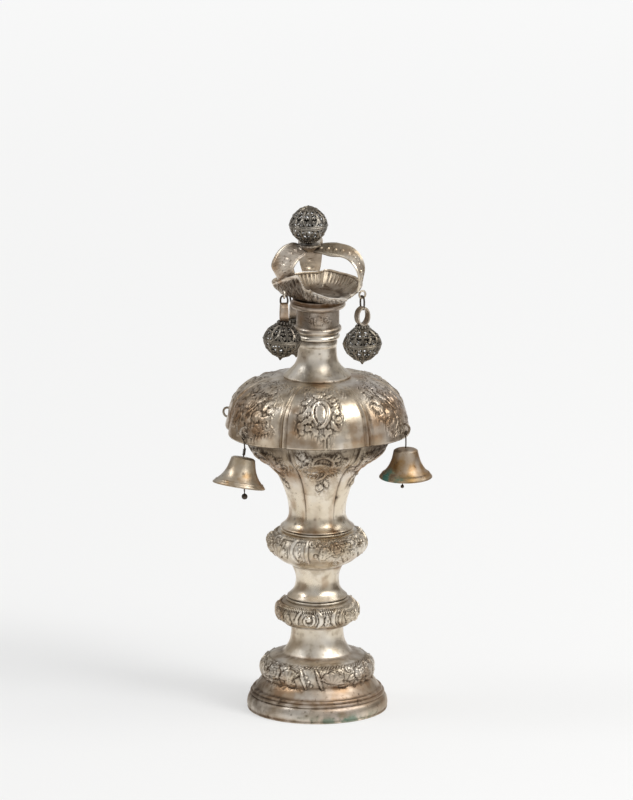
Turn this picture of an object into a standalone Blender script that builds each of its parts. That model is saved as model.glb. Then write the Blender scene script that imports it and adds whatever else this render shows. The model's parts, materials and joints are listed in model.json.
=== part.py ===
"""A silver Torah finial: a hollow chased baluster that slips over a stave, with bells and a small crown.

Everything is built in metres, +Z up, with the origin at the centre of the foot's underside. An azimuth
is measured about +Z from the front (-Y) towards +X. The sizes below are written in millimetres and
turned into metres by MM.
"""

import math

import bmesh
import bpy
import numpy as np

MM = 0.001
SEAM = 0.3 * MM

# --- Plan of the lobed body -----------------------------------------------------------------------
LOBES = 6
LOBE_ANGLE = math.radians(360 / LOBES)
FIRST_RIB = math.radians(-24)
# How far each lobe swells, from the front lobe round towards +X. The front one is knocked flat.
LOBE_SWELL = (0.15, 0.85, 1.0, 1.0, 0.85, 0.88)
RIB_CROWDING = 0.09
RIB_HEIGHT = 0.7 * MM
RIB_GROOVE = 0.8 * MM

# --- Heights of the stacked sections, in millimetres ----------------------------------------------
FOOT_TOP = 43.0
LOWER_KNOP = (43.3, 57.0)
WAIST = (57.3, 74.2)
UPPER_KNOP = (74.5, 92.9)
CALYX = (93.2, 144.9)
DOME = (142.9, 170.9)
NECK = (171.2, 189.6)
COLLAR = (189.9, 210.2)
BOWL_FLOOR = 210.5

# The dome's outer wall from its edge to the neck, radius by height.
DOME_WALL = (
    (143.2, 146.6, 150.0, 156.4, 161.6, 165.6, 168.9, 170.5),
    (43.2, 42.9, 42.2, 41.2, 38.2, 33.6, 26.0, 17.0),
)

# --- Crown ----------------------------------------------------------------------------------------
PETALS = 6
PETAL_ANGLE = math.radians(360 / PETALS)
FIRST_FOLD = math.radians(-10)
# The bowl's bent rim: azimuth in degrees, radius and height in millimetres.
RIM = (
    (-80, 22.8, 218.4),
    (-60, 23.0, 221.2),
    (-45, 23.0, 223.8),
    (-28, 20.8, 226.2),
    (-20, 20.0, 219.0),
    (-6, 22.2, 218.0),
    (16, 22.8, 215.0),
    (40, 23.0, 213.7),
    (70, 22.5, 216.6),
    (110, 22.6, 217.7),
    (150, 22.6, 218.4),
    (165, 22.8, 219.4),
    (180, 22.5, 217.9),
    (230, 22.5, 217.8),
)
# Each arch: azimuth, twist at its foot and at its crest in degrees, height of the crest, then its
# limb's stations up from the foot in millimetres.
ARCHES = {
    "right": (62, 18, -32, 235.6, (23.9, 217.2), (25.0, 222.0), (24.7, 228.0, 0.3, 2)),
    "back": (188, 0, 0, 237.4, (23.2, 218.4), (25.2, 228.0, 0.4, 3)),
    "left": (-50, 38, 14, 236.4, (17.7, 221.2), (18.4, 225.0), (21.8, 227.2), (23.4, 230.2, 0.3, 1)),
}
ARCH_WIDTH = 10.8 * MM
ARCH_THICKNESS = 0.9 * MM
ARCH_BORDER = 1.3 * MM
ARCH_RELIEF = 0.5 * MM
CROWN_TOP = (-4.0, 0.0, 236.4)
TOP_BALL = (-4.4, 0.0, 247.6)
BALL_RADIUS = 9.5
BALL_SQUASH = 0.93
BALL_WALL = 0.8 * MM

# Each hanging ball: azimuth, distance from the axis and height of its centre in millimetres, its
# lean and turn in degrees, then the half height of its link and the radius of its eyelet.
HANGING_BALLS = {
    "right": (62, 25.3, 189.8, 0.0, -30, 3.4, 1.8),
    "left": (-45, 24.6, 193.2, 6.0, -40, 2.4, 1.8),
    "back": (205, 24.0, 183.6, -4.0, 60, 6.2, 2.2),
}

# --- Bells ----------------------------------------------------------------------------------------
RING_RADIUS = 2.4 * MM
WIRE = 0.4 * MM
# Each ring: azimuth in degrees and height in millimetres, on the dome's wall.
BELL_RINGS = {"left": (-49, 149.4), "right": (64, 148.6), "back": (186, 148.6)}
BARE_RINGS = {"far_left": (-114, 146.8), "far_right": (126, 148.0)}
# Each bell: height of its crown, its sideways lean, its clapper's lean and ball radius.
BELLS = {
    "left": (136.4, 9.5, -1.5, 1.5),
    "right": (138.4, 0.0, 5.0, 0.9),
    "back": (137.4, -2.0, 1.0, 1.2),
}
BELL_HEIGHT = 14.6
BELL_MOUTH = 13.0


def clear_scene():
    """Remove every object, so that only the finial is left."""
    for stale in list(bpy.data.objects):
        bpy.data.objects.remove(stale)


def finish(name, colour, roughness, metallic=1.0):
    """A plain Principled material."""
    material = bpy.data.materials.new(name)
    material.use_nodes = True
    shader = material.node_tree.nodes["Principled BSDF"]
    shader.inputs["Base Color"].default_value = (*colour, 1.0)
    shader.inputs["Roughness"].default_value = roughness
    shader.inputs["Metallic"].default_value = metallic
    return material


def place(name, points, faces, material, smooth_angle=40):
    """Make one mesh object from points and faces, pointing its faces outwards."""
    mesh = bpy.data.meshes.new(name)
    mesh.from_pydata([tuple(point) for point in points], [], faces)
    shell = bmesh.new()
    shell.from_mesh(mesh)
    bmesh.ops.recalc_face_normals(shell, faces=shell.faces)
    shell.to_mesh(mesh)
    shell.free()
    mesh.materials.append(material)
    mesh.shade_smooth()
    mesh.set_sharp_from_angle(angle=math.radians(smooth_angle))
    piece = bpy.data.objects.new(name, mesh)
    bpy.context.scene.collection.objects.link(piece)
    return piece


def outward(azimuth):
    """Unit vector away from the axis at an azimuth."""
    return np.array((math.sin(azimuth), -math.cos(azimuth), 0.0))


def sideways(azimuth):
    """Unit vector along the circle at an azimuth."""
    return np.array((math.cos(azimuth), math.sin(azimuth), 0.0))


UP = np.array((0.0, 0.0, 1.0))


# --- Profiles -------------------------------------------------------------------------------------


def outline(*stations):
    """Profile points in metres from (radius, height) stations in millimetres.

    A station may add a bow and a count: it is then reached by a shallow arc of that many pieces, which
    bulges by the bow to the right of the way the profile runs.
    """
    points = [np.array(stations[0][:2])]
    for station in stations[1:]:
        start = points[-1]
        end = np.array(station[:2])
        bow, pieces = station[2:] if len(station) > 2 else (0.0, 1)
        run = end - start
        right = np.array((run[1], -run[0])) / np.hypot(*run)
        for step in range(1, pieces + 1):
            share = step / pieces
            points.append(start + run * share + right * 4 * bow * share * (1 - share))
    return np.array(points) * MM


def plain(azimuth, radius, height):
    """No carving: a point of the turned shape stays where it is."""
    return azimuth, radius, height


def turned(name, profile, sides, material, shape=plain, start=FIRST_RIB, smooth_angle=40):
    """A profile carried round the axis, each point then moved by the shape rule.

    The profile runs up the outside and down the inside. One that touches the axis ends there in a
    single point, and any other closes on itself, so that the piece stays open from end to end.
    """
    points = []
    rows = []
    for radius, height in profile:
        if radius == 0:
            rows.append([len(points)])
            points.append((0.0, 0.0, height))
            continue
        rows.append(list(range(len(points), len(points) + sides)))
        for side in range(sides):
            azimuth, moved, level = shape(start + math.tau * side / sides, radius, height)
            points.append(tuple(outward(azimuth) * moved + UP * level))
    pairs = list(zip(rows, rows[1:]))
    if profile[0][0] > 0 and profile[-1][0] > 0:
        pairs.append((rows[-1], rows[0]))
    faces = []
    for low, high in pairs:
        for side in range(sides):
            corners = (low[side % len(low)], low[(side + 1) % len(low)])
            corners += (high[(side + 1) % len(high)], high[side % len(high)])
            faces.append(tuple(dict.fromkeys(corners)))
    return place(name, points, faces, material, smooth_angle=smooth_angle)


def swept(name, path, sides_of_path, section, material, closed=False, widths=None, smooth_angle=40):
    """A section carried along a path.

    The section's first coordinate runs along each point's side vector, and its second along the
    normal, which is square to the path and the side. `widths` scales the first coordinate.
    """
    path = np.array(path)
    count = len(path)
    if closed:
        tangents = np.roll(path, -1, axis=0) - np.roll(path, 1, axis=0)
    else:
        tangents = np.gradient(path, axis=0)
    sides_of_path = np.broadcast_to(sides_of_path, path.shape)
    normals = np.cross(sides_of_path, tangents)
    normals /= np.linalg.norm(normals, axis=1)[:, None]
    widths = np.ones(count) if widths is None else np.array(widths)
    points = []
    for centre, side, normal, width in zip(path, sides_of_path, normals, widths):
        for across, out in section:
            points.append(centre + side * across * width + normal * out)
    size = len(section)
    faces = []
    for step in range(count if closed else count - 1):
        here, there = step * size, (step + 1) % count * size
        for corner in range(size):
            after = (corner + 1) % size
            faces.append((here + corner, here + after, there + after, there + corner))
    if not closed:
        faces.append(tuple(range(size)))
        faces.append(tuple(range((count - 1) * size, count * size)))
    return place(name, points, faces, material, smooth_angle=smooth_angle)


def round_section(radius, sides=4):
    """A wire's section."""
    angles = [math.tau * side / sides for side in range(sides)]
    return [(radius * math.cos(angle), radius * math.sin(angle)) for angle in angles]


# --- Carving rules --------------------------------------------------------------------------------


def lobe_place(azimuth):
    """Which lobe an azimuth is in, and how far across it from 0 to 1."""
    turns = (azimuth - FIRST_RIB) / LOBE_ANGLE + 1e-9
    lobe = math.floor(turns)
    return lobe % LOBES, turns - lobe


def lobed(swell_at, rib_share=1.0):
    """Six swelling lobes with a raised rib between them; `swell_at` gives the swell in metres."""

    def shape(azimuth, radius, height):
        lobe, across = lobe_place(azimuth)
        shift = -RIB_CROWDING * math.sin(math.tau * across) * LOBE_ANGLE
        across -= RIB_CROWDING * math.sin(math.tau * across)
        swell = swell_at(height) * LOBE_SWELL[lobe] * math.sin(math.pi * across) ** 0.7
        from_rib = min(across, 1 - across) * LOBE_ANGLE * radius
        rib = RIB_HEIGHT * math.exp(-((from_rib / (1.0 * MM)) ** 2))
        groove = RIB_GROOVE * math.exp(-(((from_rib - 2.2 * MM) / (1.2 * MM)) ** 2))
        return azimuth + shift, radius + swell + (rib - groove) * rib_share, height

    return shape


def dome_swell(height):
    """The lobes start flat at the neck and swell to full size at the overhanging edge."""
    share = min(max((DOME[1] * MM - height) / (22 * MM), 0.0), 1.0)
    return 5.0 * MM * share ** 1.3


def calyx_swell(height):
    """The same lobes die away down the calyx, to a bare seam on its stem."""
    share = min(max((height - 102 * MM) / (CALYX[1] * MM - 102 * MM), 0.0), 1.0)
    return 4.4 * MM * share ** 1.4


def cartouche(height_at, spread, raise_by):
    """A boss in the middle of each lobe, for the chased flower or shell there."""

    def boss(azimuth, radius, height):
        _, across = lobe_place(azimuth)
        aside = (across - 0.5) * LOBE_ANGLE * radius / spread[0]
        above = (height - height_at) / spread[1]
        return raise_by * math.exp(-(aside**2 + above**2))

    return boss


def petal_band(low, high, repeats, depth):
    """Leaves and buds chased round a knop between two heights, outside only."""

    def shape(azimuth, radius, height):
        share = (height - low) / (high - low)
        if not 0 < share < 1:
            return azimuth, radius, height
        wave = abs(math.sin(repeats * azimuth / 2)) ** 0.6 - 0.6
        return azimuth, radius + depth * wave * math.sin(math.pi * share), height

    return shape


# --- Sections of the body -------------------------------------------------------------------------


def build_foot(silver):
    """Stepped base, chased ring and flared neck, raised from one sheet and open below."""
    profile = outline(
        (33.4, 0.0),
        (34.9, 0.0),
        (34.0, 7.2),
        (32.8, 8.2),
        (32.6, 9.4),
        (31.2, 10.3),
        (26.6, 16.3, 0.7, 2),
        (26.2, 26.0, 2.0, 3),
        (18.0, 28.6, 0.5, 1),
        (13.1, 37.6, -1.0, 2),
        (13.1, FOOT_TOP),
        (12.1, FOOT_TOP),
        (12.1, 37.6),
        (17.0, 27.3),
        (25.2, 24.8),
        (26.0, 17.6),
        (31.4, 7.6),
    )
    carve = petal_band(16.2 * MM, 28.0 * MM, 8, 1.6 * MM)

    def outside_only(azimuth, radius, height):
        inner = radius < (26.65 if height < 24 * MM else 25.3) * MM
        return (azimuth, radius, height) if inner else carve(azimuth, radius, height)

    return turned("foot", profile, 32, silver, outside_only, start=0.0)


def build_knop(name, heights, bore, rings, belly, shoulders, repeats, silver):
    """A hollow flattened knop between two thin rings, chased with leaves."""
    low, high = heights
    middle = belly[1]
    bottom, top = (shoulders[0], low + 1.3), (shoulders[1], high - 1.8)
    profile = outline(
        (bore[0], low),
        (rings[0], low),
        bottom,
        (*belly, 0.14 * math.dist(bottom, belly), 2),
        (*top, 0.14 * math.dist(belly, top), 2),
        (rings[1], high),
        (bore[1], high),
        (belly[0] - 2.8, middle + 2.6),
        (belly[0] - 2.8, middle - 1.8),
    )
    carve = petal_band((low + 1.2) * MM, (high - 1.2) * MM, repeats, 1.5 * MM)
    inner_reach = (belly[0] - 2.7) * MM

    def outside_only(azimuth, radius, height):
        inner = radius < inner_reach and abs(height - middle * MM) < 2.7 * MM
        return (azimuth, radius, height) if inner else carve(azimuth, radius, height)

    return turned(name, profile, 32, silver, outside_only, start=0.0)


def build_waist(silver):
    """The plain waisted stem between the two knops."""
    low, high = WAIST
    profile = outline(
        (13.6, low),
        (14.9, low),
        (10.7, low + 8.2, -1.2, 2),
        (12.8, high, -0.6, 2),
        (11.6, high),
        (9.7, low + 8.4),
    )
    return turned("waist", profile, 18, silver)


def build_calyx(silver):
    """The lobed cup that rises from the upper knop and carries the dome."""
    low, high = CALYX
    profile = outline(
        (15.6, low),
        (16.7, low),
        (14.3, 97.4, -0.4, 1),
        (14.7, 105.5),
        (18.2, 118.0, -0.4, 1),
        (22.8, 125.6, -0.4, 1),
        (28.6, 130.4),
        (33.2, 136.0),
        (36.6, high),
        (35.5, high),
        (27.8, 131.4),
        (17.2, 118.6),
        (13.4, 103.5),
    )
    lobes = lobed(calyx_swell, 0.6)
    boss = cartouche(131 * MM, (5 * MM, 6 * MM), 1.3 * MM)

    def shape(azimuth, radius, height):
        azimuth, moved, height = lobes(azimuth, radius, height)
        outside = radius > 28.2 * MM and height < 138 * MM
        return azimuth, moved + (boss(azimuth, radius, height) if outside else 0.0), height

    return turned("calyx", profile, 42, silver, shape)


def build_dome(silver):
    """The overhanging lobed dome, turned under at its edge and open in the middle of its top."""
    low, high = DOME
    wall = [(radius, height) for height, radius in zip(*DOME_WALL) if height != 146.6]
    profile = outline(
        (37.6, 145.2),
        (42.6, low),
        *wall,
        (11.0, high),
        (11.0, high - 1.0),
        (27.0, 167.4),
        (38.0, 159.4),
        (41.2, 146.4),
    )
    lobes = lobed(dome_swell)
    boss = cartouche(159 * MM, (9 * MM, 7 * MM), 1.4 * MM)

    def shape(azimuth, radius, height):
        azimuth, moved, height = lobes(azimuth, radius, height)
        outside = height > 150.5 * MM and radius + height > (37.2 + 161.2) * MM
        return azimuth, moved + (boss(azimuth, radius, height) if outside else 0.0), height

    return turned("dome", profile, 48, silver, shape)


def build_neck(silver):
    """The smooth trumpet-shaped neck that stands on the dome."""
    low, high = NECK
    profile = outline(
        (12.4, low),
        (16.6, low),
        (9.8, low + 8.6, -2.0, 3),
        (9.6, high),
        (8.5, high),
        (8.7, low + 8.6),
    )
    return turned("neck", profile, 20, silver)


def build_collar(silver):
    """The moulded collar: two beads, a punched band, and a grooved flange under the crown."""
    low, high = COLLAR
    profile = outline(
        (8.8, low),
        (10.3, low),
        (10.6, 192.4, 0.4, 1),
        (11.6, 195.4, 0.4, 1),
        (10.7, 196.6),
        (10.7, 205.6),
        (13.7, 206.6),
        (13.7, 208.6),
        (12.4, high),
        (9.4, high),
    )
    return turned("collar", profile, 20, silver)


# --- Crown ----------------------------------------------------------------------------------------


def rim_at(azimuth):
    """Radius and height of the bowl's bent rim."""
    degrees = (math.degrees(azimuth) + 80) % 360 - 80
    angles = [station[0] for station in RIM] + [RIM[0][0] + 360]
    radii = [station[1] for station in RIM] + [RIM[0][1]]
    heights = [station[2] for station in RIM] + [RIM[0][2]]
    return np.interp(degrees, angles, radii) * MM, np.interp(degrees, angles, heights) * MM


def build_bowl(silver):
    """The crown's bowl, its petals bent about: one stands up and the next is pressed down."""
    rim_radius, rim_height, floor_radius = 22.5, 218.0, 11.5
    profile = outline(
        (0.0, BOWL_FLOOR),
        (floor_radius, BOWL_FLOOR),
        (17.6, 213.2, 0.3, 1),
        (rim_radius, rim_height - 0.7, 0.3, 1),
        (rim_radius - 0.4, rim_height),
        (16.9, 214.3),
        (floor_radius - 0.8, BOWL_FLOOR + 1.0),
        (0.0, BOWL_FLOOR + 1.0),
    )

    def shape(azimuth, radius, height):
        share = min(max((radius / MM - floor_radius) / (rim_radius - floor_radius), 0.0), 1.0)
        bent_radius, bent_height = rim_at(azimuth)
        across = ((azimuth - FIRST_FOLD) / PETAL_ANGLE) % 1.0
        fold = 0.5 * MM * (2 * abs(across - 0.5)) ** 6
        radius += (bent_radius - rim_radius * MM - fold) * share
        height += (bent_height - rim_height * MM) * share
        return azimuth, radius, height

    return turned("crown_bowl", profile, 36, silver, shape, start=FIRST_FOLD)


def arch_path(azimuth, crest, limb):
    """Outer line of an arch, from its foot on the rim over to the crown's top."""
    stations = outline(*limb, (12.6, crest, 2.9, 4), (6.0, CROWN_TOP[2] + 0.4, 0.3, 2))
    lean = np.array((CROWN_TOP[0], CROWN_TOP[1], 0.0)) * MM
    shares = np.linspace(0, 1, len(stations)) ** 3
    path = [outward(azimuth) * radius + UP * height for radius, height in stations]
    return np.array(path) + lean * shares[:, None]


def build_arch(name, silver):
    """A band with raised borders, springing from the bowl's rim and narrowing to both ends."""
    degrees, foot_twist, crest_twist, crest, *limb = ARCHES[name]
    azimuth = math.radians(degrees)
    path = arch_path(azimuth, crest, limb)
    half = ARCH_WIDTH / 2
    section = [
        (-half, 0.0),
        (half, 0.0),
        (half, ARCH_THICKNESS + ARCH_RELIEF),
        (half - ARCH_BORDER, ARCH_THICKNESS),
        (-half + ARCH_BORDER, ARCH_THICKNESS),
        (-half, ARCH_THICKNESS + ARCH_RELIEF),
    ]
    section = [(across, -out) for across, out in section]
    along = np.linspace(0, 1, len(path))
    widths = 1.0 - 0.3 * (1 - along) ** 6 - 0.4 * along**4
    band = -sideways(azimuth)
    normals = np.cross(band, np.gradient(path, axis=0))
    normals /= np.linalg.norm(normals, axis=1)[:, None]
    twists = (foot_twist, foot_twist, crest_twist, crest_twist, 0.0)
    twists = np.interp(along, (0.0, 0.15, 0.5, 0.8, 1.0), twists)
    turn = np.radians(twists)[:, None]
    sides = band * np.cos(turn) - normals * np.sin(turn)
    return swept(f"arch_{name}", path, sides, section, silver, widths=widths)


def build_crown_disc(silver):
    """The small dished disc that the arches meet under, and that carries the top ball."""
    profile = outline((0.0, -0.1), (3.0, -0.1), (5.6, 1.0), (5.2, 1.7), (2.4, 1.3), (0.0, 1.3))
    disc = turned("crown_disc", profile, 10, silver)
    disc.location = (CROWN_TOP[0] * MM, CROWN_TOP[1] * MM, CROWN_TOP[2] * MM)
    return disc


def build_ball(name, centre, material, squash=1.0, lean=0.0, tips=(0.0, 0.0)):
    """An openwork ball: a thin shell with two windows above its girdle and two below.

    The tips draw its two poles out, the lower one first.
    """
    meridians, parallels = 10, 6
    shell = bmesh.new()
    bmesh.ops.create_uvsphere(
        shell, u_segments=meridians, v_segments=parallels, radius=BALL_RADIUS * MM
    )
    windows = []
    for face in shell.faces:
        middle = face.calc_center_median()
        column = int((math.atan2(middle.y, middle.x) % math.tau) / math.tau * meridians)
        near_girdle = abs(middle.z) < 0.5 * BALL_RADIUS * MM
        if near_girdle and column % 5 == (0 if middle.z > 0 else 2):
            windows.append(face)
    bmesh.ops.delete(shell, geom=windows, context="FACES")
    for vert in shell.verts:
        vert.co.z *= squash
    shell.verts.ensure_lookup_table()
    poles = sorted(shell.verts, key=lambda vert: vert.co.z)
    poles[0].co.z -= tips[0] * MM
    poles[-1].co.z += tips[1] * MM
    mesh = bpy.data.meshes.new(name)
    shell.to_mesh(mesh)
    shell.free()
    mesh.materials.append(material)
    mesh.shade_smooth()
    ball = bpy.data.objects.new(name, mesh)
    bpy.context.scene.collection.objects.link(ball)
    ball.location = np.array(centre) * MM
    ball.rotation_euler = (0.0, math.radians(lean), 0.0)
    wall = ball.modifiers.new("Wall", "SOLIDIFY")
    wall.thickness = BALL_WALL
    wall.offset = -1.0
    return ball


def oval(centre, across, half_width, half_height, count, fullness=1.0):
    """Points round an upright oval whose width runs along `across`; a low fullness squares its ends."""
    angles = (np.arange(count) + 0.5) * math.tau / count
    sines = np.sign(np.sin(angles)) * np.abs(np.sin(angles)) ** fullness
    rises = np.cos(angles) / math.cos(math.pi / count)
    return centre + np.outer(sines, across) * half_width + np.outer(rises, UP) * half_height


def build_hanging(name, wire, silver, filigree):
    """One hanging ball with its strap loop, wire link and the eyelet at the arch's foot."""
    degrees, radius, height, lean, twist, link_half, eyelet_radius = HANGING_BALLS[name]
    azimuth = math.radians(degrees)
    foot = outward(azimuth) * radius * MM
    ball_at = (foot + UP * height * MM) / MM
    top = BALL_RADIUS * BALL_SQUASH
    side_step = math.sin(math.radians(lean)) * top
    neck_at = foot + np.array((side_step, 0.0, height + top)) * MM
    build_ball(f"ball_{name}", ball_at, filigree, BALL_SQUASH, lean, tips=(2.2, 0.3))

    band_half, strap_half = 4.4 * MM, 3.2 * MM
    strap_centre = neck_at + UP * (0.9 * MM + band_half)
    facing = azimuth + math.radians(twist)
    across = sideways(facing)
    strap_path = oval(strap_centre, across, strap_half, band_half, 10)
    widths = [0.65 - 0.35 * math.cos(math.tau * (step + 0.5) / 10) for step in range(10)]
    half, thick = 2.0 * MM, 0.3 * MM
    section = [(-half, -thick), (half, -thick), (half, thick), (-half, thick)]
    swept(f"strap_{name}", strap_path, outward(facing), section, silver, closed=True, widths=widths)

    link_half *= MM
    link_centre = strap_centre + UP * (band_half - 1.0 * MM + link_half)
    link_path = oval(link_centre, outward(facing), 1.8 * MM, link_half, 8, 0.5)
    link_section = round_section(0.28 * MM)
    swept(f"link_{name}", link_path, across, link_section, wire, closed=True)

    eyelet_radius *= MM
    eyelet_centre = link_centre + UP * (link_half - 1.0 * MM + eyelet_radius)
    eyelet_path = oval(eyelet_centre, across, eyelet_radius, eyelet_radius, 8)
    swept(f"eyelet_{name}", eyelet_path, outward(facing), link_section, silver, closed=True)


# --- Bells ----------------------------------------------------------------------------------------


def ring_centre(degrees, height):
    """Middle of a ring that stands on the dome's wall."""
    azimuth = math.radians(degrees)
    _, wall, _ = lobed(dome_swell)(azimuth, np.interp(height, *DOME_WALL) * MM, height * MM)
    return outward(azimuth) * (wall + 1.9 * MM) + UP * height * MM


def build_ring(name, degrees, height, material):
    """A wire eyelet standing upright on the dome's lower edge, its two ends meeting the wall."""
    azimuth = math.radians(degrees)
    centre = ring_centre(degrees, height)
    reach = math.radians(118)
    angles = np.linspace(-reach, reach, 7)
    path = [
        centre + outward(azimuth) * RING_RADIUS * math.cos(angle) + UP * RING_RADIUS * math.sin(angle)
        for angle in angles
    ]
    return swept(f"ring_{name}", path, sideways(azimuth), round_section(WIRE), material)


def bell_profile():
    """A bell's wall from the middle of its crown round its lip and back inside."""
    mouth, height = BELL_MOUTH, BELL_HEIGHT
    return outline(
        (0.0, -0.9),
        (5.2, -0.9),
        (6.0, -5.4),
        (10.0, -11.4, 0.5, 1),
        (mouth - 0.9, -height),
        (mouth, -height + 0.6),
        (10.8, -11.2),
        (7.2, -6.2, -0.7, 2),
        (6.2, -0.8),
        (5.2, 0.0),
        (0.0, 0.0),
    )


def build_bell(name, silver, wire):
    """A bell hung by a wire hook from its ring, with a ball-ended clapper."""
    degrees, ring_height = BELL_RINGS[name]
    crown_height, lean, clapper_lean, ball = BELLS[name]
    azimuth = math.radians(degrees)
    hang = ring_centre(degrees, ring_height) * (1, 1, 0) + outward(azimuth) * 0.3 * MM
    crown = hang + UP * crown_height * MM
    bell = turned(f"bell_{name}", bell_profile(), 14, silver)
    bell.location = crown
    bell.rotation_euler = (0.0, math.radians(lean), 0.0)

    loop_centre = hang + UP * (ring_height * MM - RING_RADIUS)
    loop_radius = 1.15 * MM
    across = sideways(azimuth)
    angles = np.linspace(math.radians(-10), math.radians(250), 7)
    hook_path = [
        loop_centre + across * loop_radius * math.cos(angle) + UP * loop_radius * math.sin(angle)
        for angle in angles
    ]
    hook_path.append(crown + UP * 0.9 * MM)
    swept(f"hook_{name}", hook_path, outward(azimuth), round_section(0.3 * MM), wire)

    clapper_top, drop = -1.5, BELL_HEIGHT + 4.8
    clapper = turned(
        f"clapper_{name}",
        outline(
            (0.0, -drop - ball),
            (ball * 0.8, -drop - ball * 0.6),
            (ball, -drop),
            (ball * 0.7, -drop + ball * 0.7),
            (0.35, -drop + ball),
            (0.35, clapper_top),
            (0.0, clapper_top),
        ),
        6,
        wire,
    )
    clapper.location = crown
    clapper.rotation_euler = (0.0, math.radians(clapper_lean), 0.0)


def main():
    """Build the whole finial."""
    clear_scene()
    silver = finish("aged_silver", (0.58, 0.53, 0.45), 0.32)
    bell_metal = finish("bell_silver", (0.50, 0.41, 0.28), 0.34)
    filigree = finish("dark_filigree", (0.16, 0.14, 0.11), 0.45)
    wire = finish("dark_wire", (0.10, 0.09, 0.08), 0.50)

    build_foot(silver)
    build_knop(
        "lower_knop", LOWER_KNOP, (12.1, 13.6), (13.8, 14.9), (20.8, 50.2), (17.6, 18.0), 8, silver
    )
    build_waist(silver)
    build_knop(
        "upper_knop", UPPER_KNOP, (11.4, 14.8), (12.8, 16.8), (24.7, 84.6), (17.0, 19.4), 8, silver
    )
    build_calyx(silver)
    build_dome(silver)
    build_neck(silver)
    build_collar(silver)
    build_bowl(silver)
    for name in ARCHES:
        build_arch(name, silver)
    build_crown_disc(silver)
    build_ball("top_ball", TOP_BALL, filigree, tips=(0.0, 1.0))
    for name in HANGING_BALLS:
        build_hanging(name, wire, silver, filigree)
    for name, place_of_ring in {**BELL_RINGS, **BARE_RINGS}.items():
        build_ring(name, *place_of_ring, silver)
    for name in BELL_RINGS:
        build_bell(name, bell_metal, wire)


if __name__ == "__main__":
    main()
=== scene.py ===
"""A Torah finial in chased, tarnished silver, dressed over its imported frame.

Lengths in the fields are millimetres and angles are degrees, unless a name says otherwise. Meshes are
made in metres. An azimuth is measured about +Z from the front (-Y) towards +X, and a run is the
distance along a wall's outer profile.
"""

import json
import logging
import math
from dataclasses import dataclass, field
from enum import Enum, IntEnum
from typing import Sequence

import bpy
import numpy as np
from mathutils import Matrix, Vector

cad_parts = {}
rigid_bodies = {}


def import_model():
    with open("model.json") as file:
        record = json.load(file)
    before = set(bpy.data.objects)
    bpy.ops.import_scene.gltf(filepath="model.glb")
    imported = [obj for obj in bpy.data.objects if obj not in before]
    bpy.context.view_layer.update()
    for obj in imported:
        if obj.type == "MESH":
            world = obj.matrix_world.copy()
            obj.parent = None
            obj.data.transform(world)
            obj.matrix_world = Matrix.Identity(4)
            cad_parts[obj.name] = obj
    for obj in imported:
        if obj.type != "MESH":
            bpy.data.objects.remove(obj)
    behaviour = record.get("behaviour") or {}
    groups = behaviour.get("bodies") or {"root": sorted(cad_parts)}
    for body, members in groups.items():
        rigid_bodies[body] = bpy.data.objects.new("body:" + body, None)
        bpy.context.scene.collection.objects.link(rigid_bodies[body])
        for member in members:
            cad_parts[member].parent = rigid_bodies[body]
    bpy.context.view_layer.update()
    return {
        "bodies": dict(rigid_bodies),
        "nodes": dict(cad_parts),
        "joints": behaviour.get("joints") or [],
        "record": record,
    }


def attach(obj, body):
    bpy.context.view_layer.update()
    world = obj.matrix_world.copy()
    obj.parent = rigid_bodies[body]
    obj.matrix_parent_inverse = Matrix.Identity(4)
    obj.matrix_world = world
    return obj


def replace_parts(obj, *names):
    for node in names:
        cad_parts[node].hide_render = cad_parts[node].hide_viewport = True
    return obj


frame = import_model()

MM = 0.001
TURN = 2 * math.pi
UP = np.array((0.0, 0.0, 1.0))
CLEAN = np.zeros(4)
LOG = logging.getLogger("finial")

Array = np.ndarray
Object = bpy.types.Object
Socket = bpy.types.NodeSocket
Station = tuple[float, float]
Place = tuple[float, float, float]
Colour = tuple[float, float, float]


# --- Arithmetic shared by every piece ---


def outward(azimuth: float) -> Array:
    """Unit vector away from the axis at an azimuth in degrees."""
    return np.array((math.sin(math.radians(azimuth)), -math.cos(math.radians(azimuth)), 0.0))


def sideways(azimuth: float) -> Array:
    """Unit vector along the circle at an azimuth in degrees."""
    return np.array((math.cos(math.radians(azimuth)), math.sin(math.radians(azimuth)), 0.0))


def unit(vectors: Array) -> Array:
    """Vectors scaled to length one, along their last axis."""
    return vectors / np.maximum(np.linalg.norm(vectors, axis=-1, keepdims=True), 1e-12)


def circle(count: int) -> Array:
    """Angles evenly round a circle, in radians."""
    return np.arange(count) * TURN / count


def off(azimuths: Array, azimuth: float) -> Array:
    """Degrees from an azimuth, within half a turn either way."""
    return np.mod(azimuths - azimuth + 180, 360) - 180


def bell(values: Array, middle: float, width: float) -> Array:
    """A bell curve: 1 at its middle, and 1/e a width away."""
    return np.exp(-(((values - middle) / width) ** 2))


def ramp(values: Array, start: float, length: float) -> Array:
    """0 up to the start and 1 past the length beyond it; a negative length goes the other way."""
    return np.clip((values - start) / length, 0, 1)


def boss(square: Array) -> Array:
    """Height of a round boss: the square root of one less the squared distance."""
    return np.sqrt(np.clip(1 - square, 0, 1))


def leaned(vectors: Array, lean: float, nod: float = 0.0) -> Array:
    """Vectors nodded about the x axis and then leaned about the y axis.

    Args:
        vectors: The vectors, along the last axis.
        lean: Degrees that their upper end goes towards +x.
        nod: Degrees that it first goes towards +y.

    Returns:
        The turned vectors.
    """
    c, s = math.cos(math.radians(nod)), math.sin(math.radians(nod))
    x, y, z = np.moveaxis(vectors, -1, 0)
    y, z = y * c + z * s, z * c - y * s
    c, s = math.cos(math.radians(lean)), math.sin(math.radians(lean))
    return np.stack((x * c + z * s, y, z * c - x * s), axis=-1)


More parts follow.
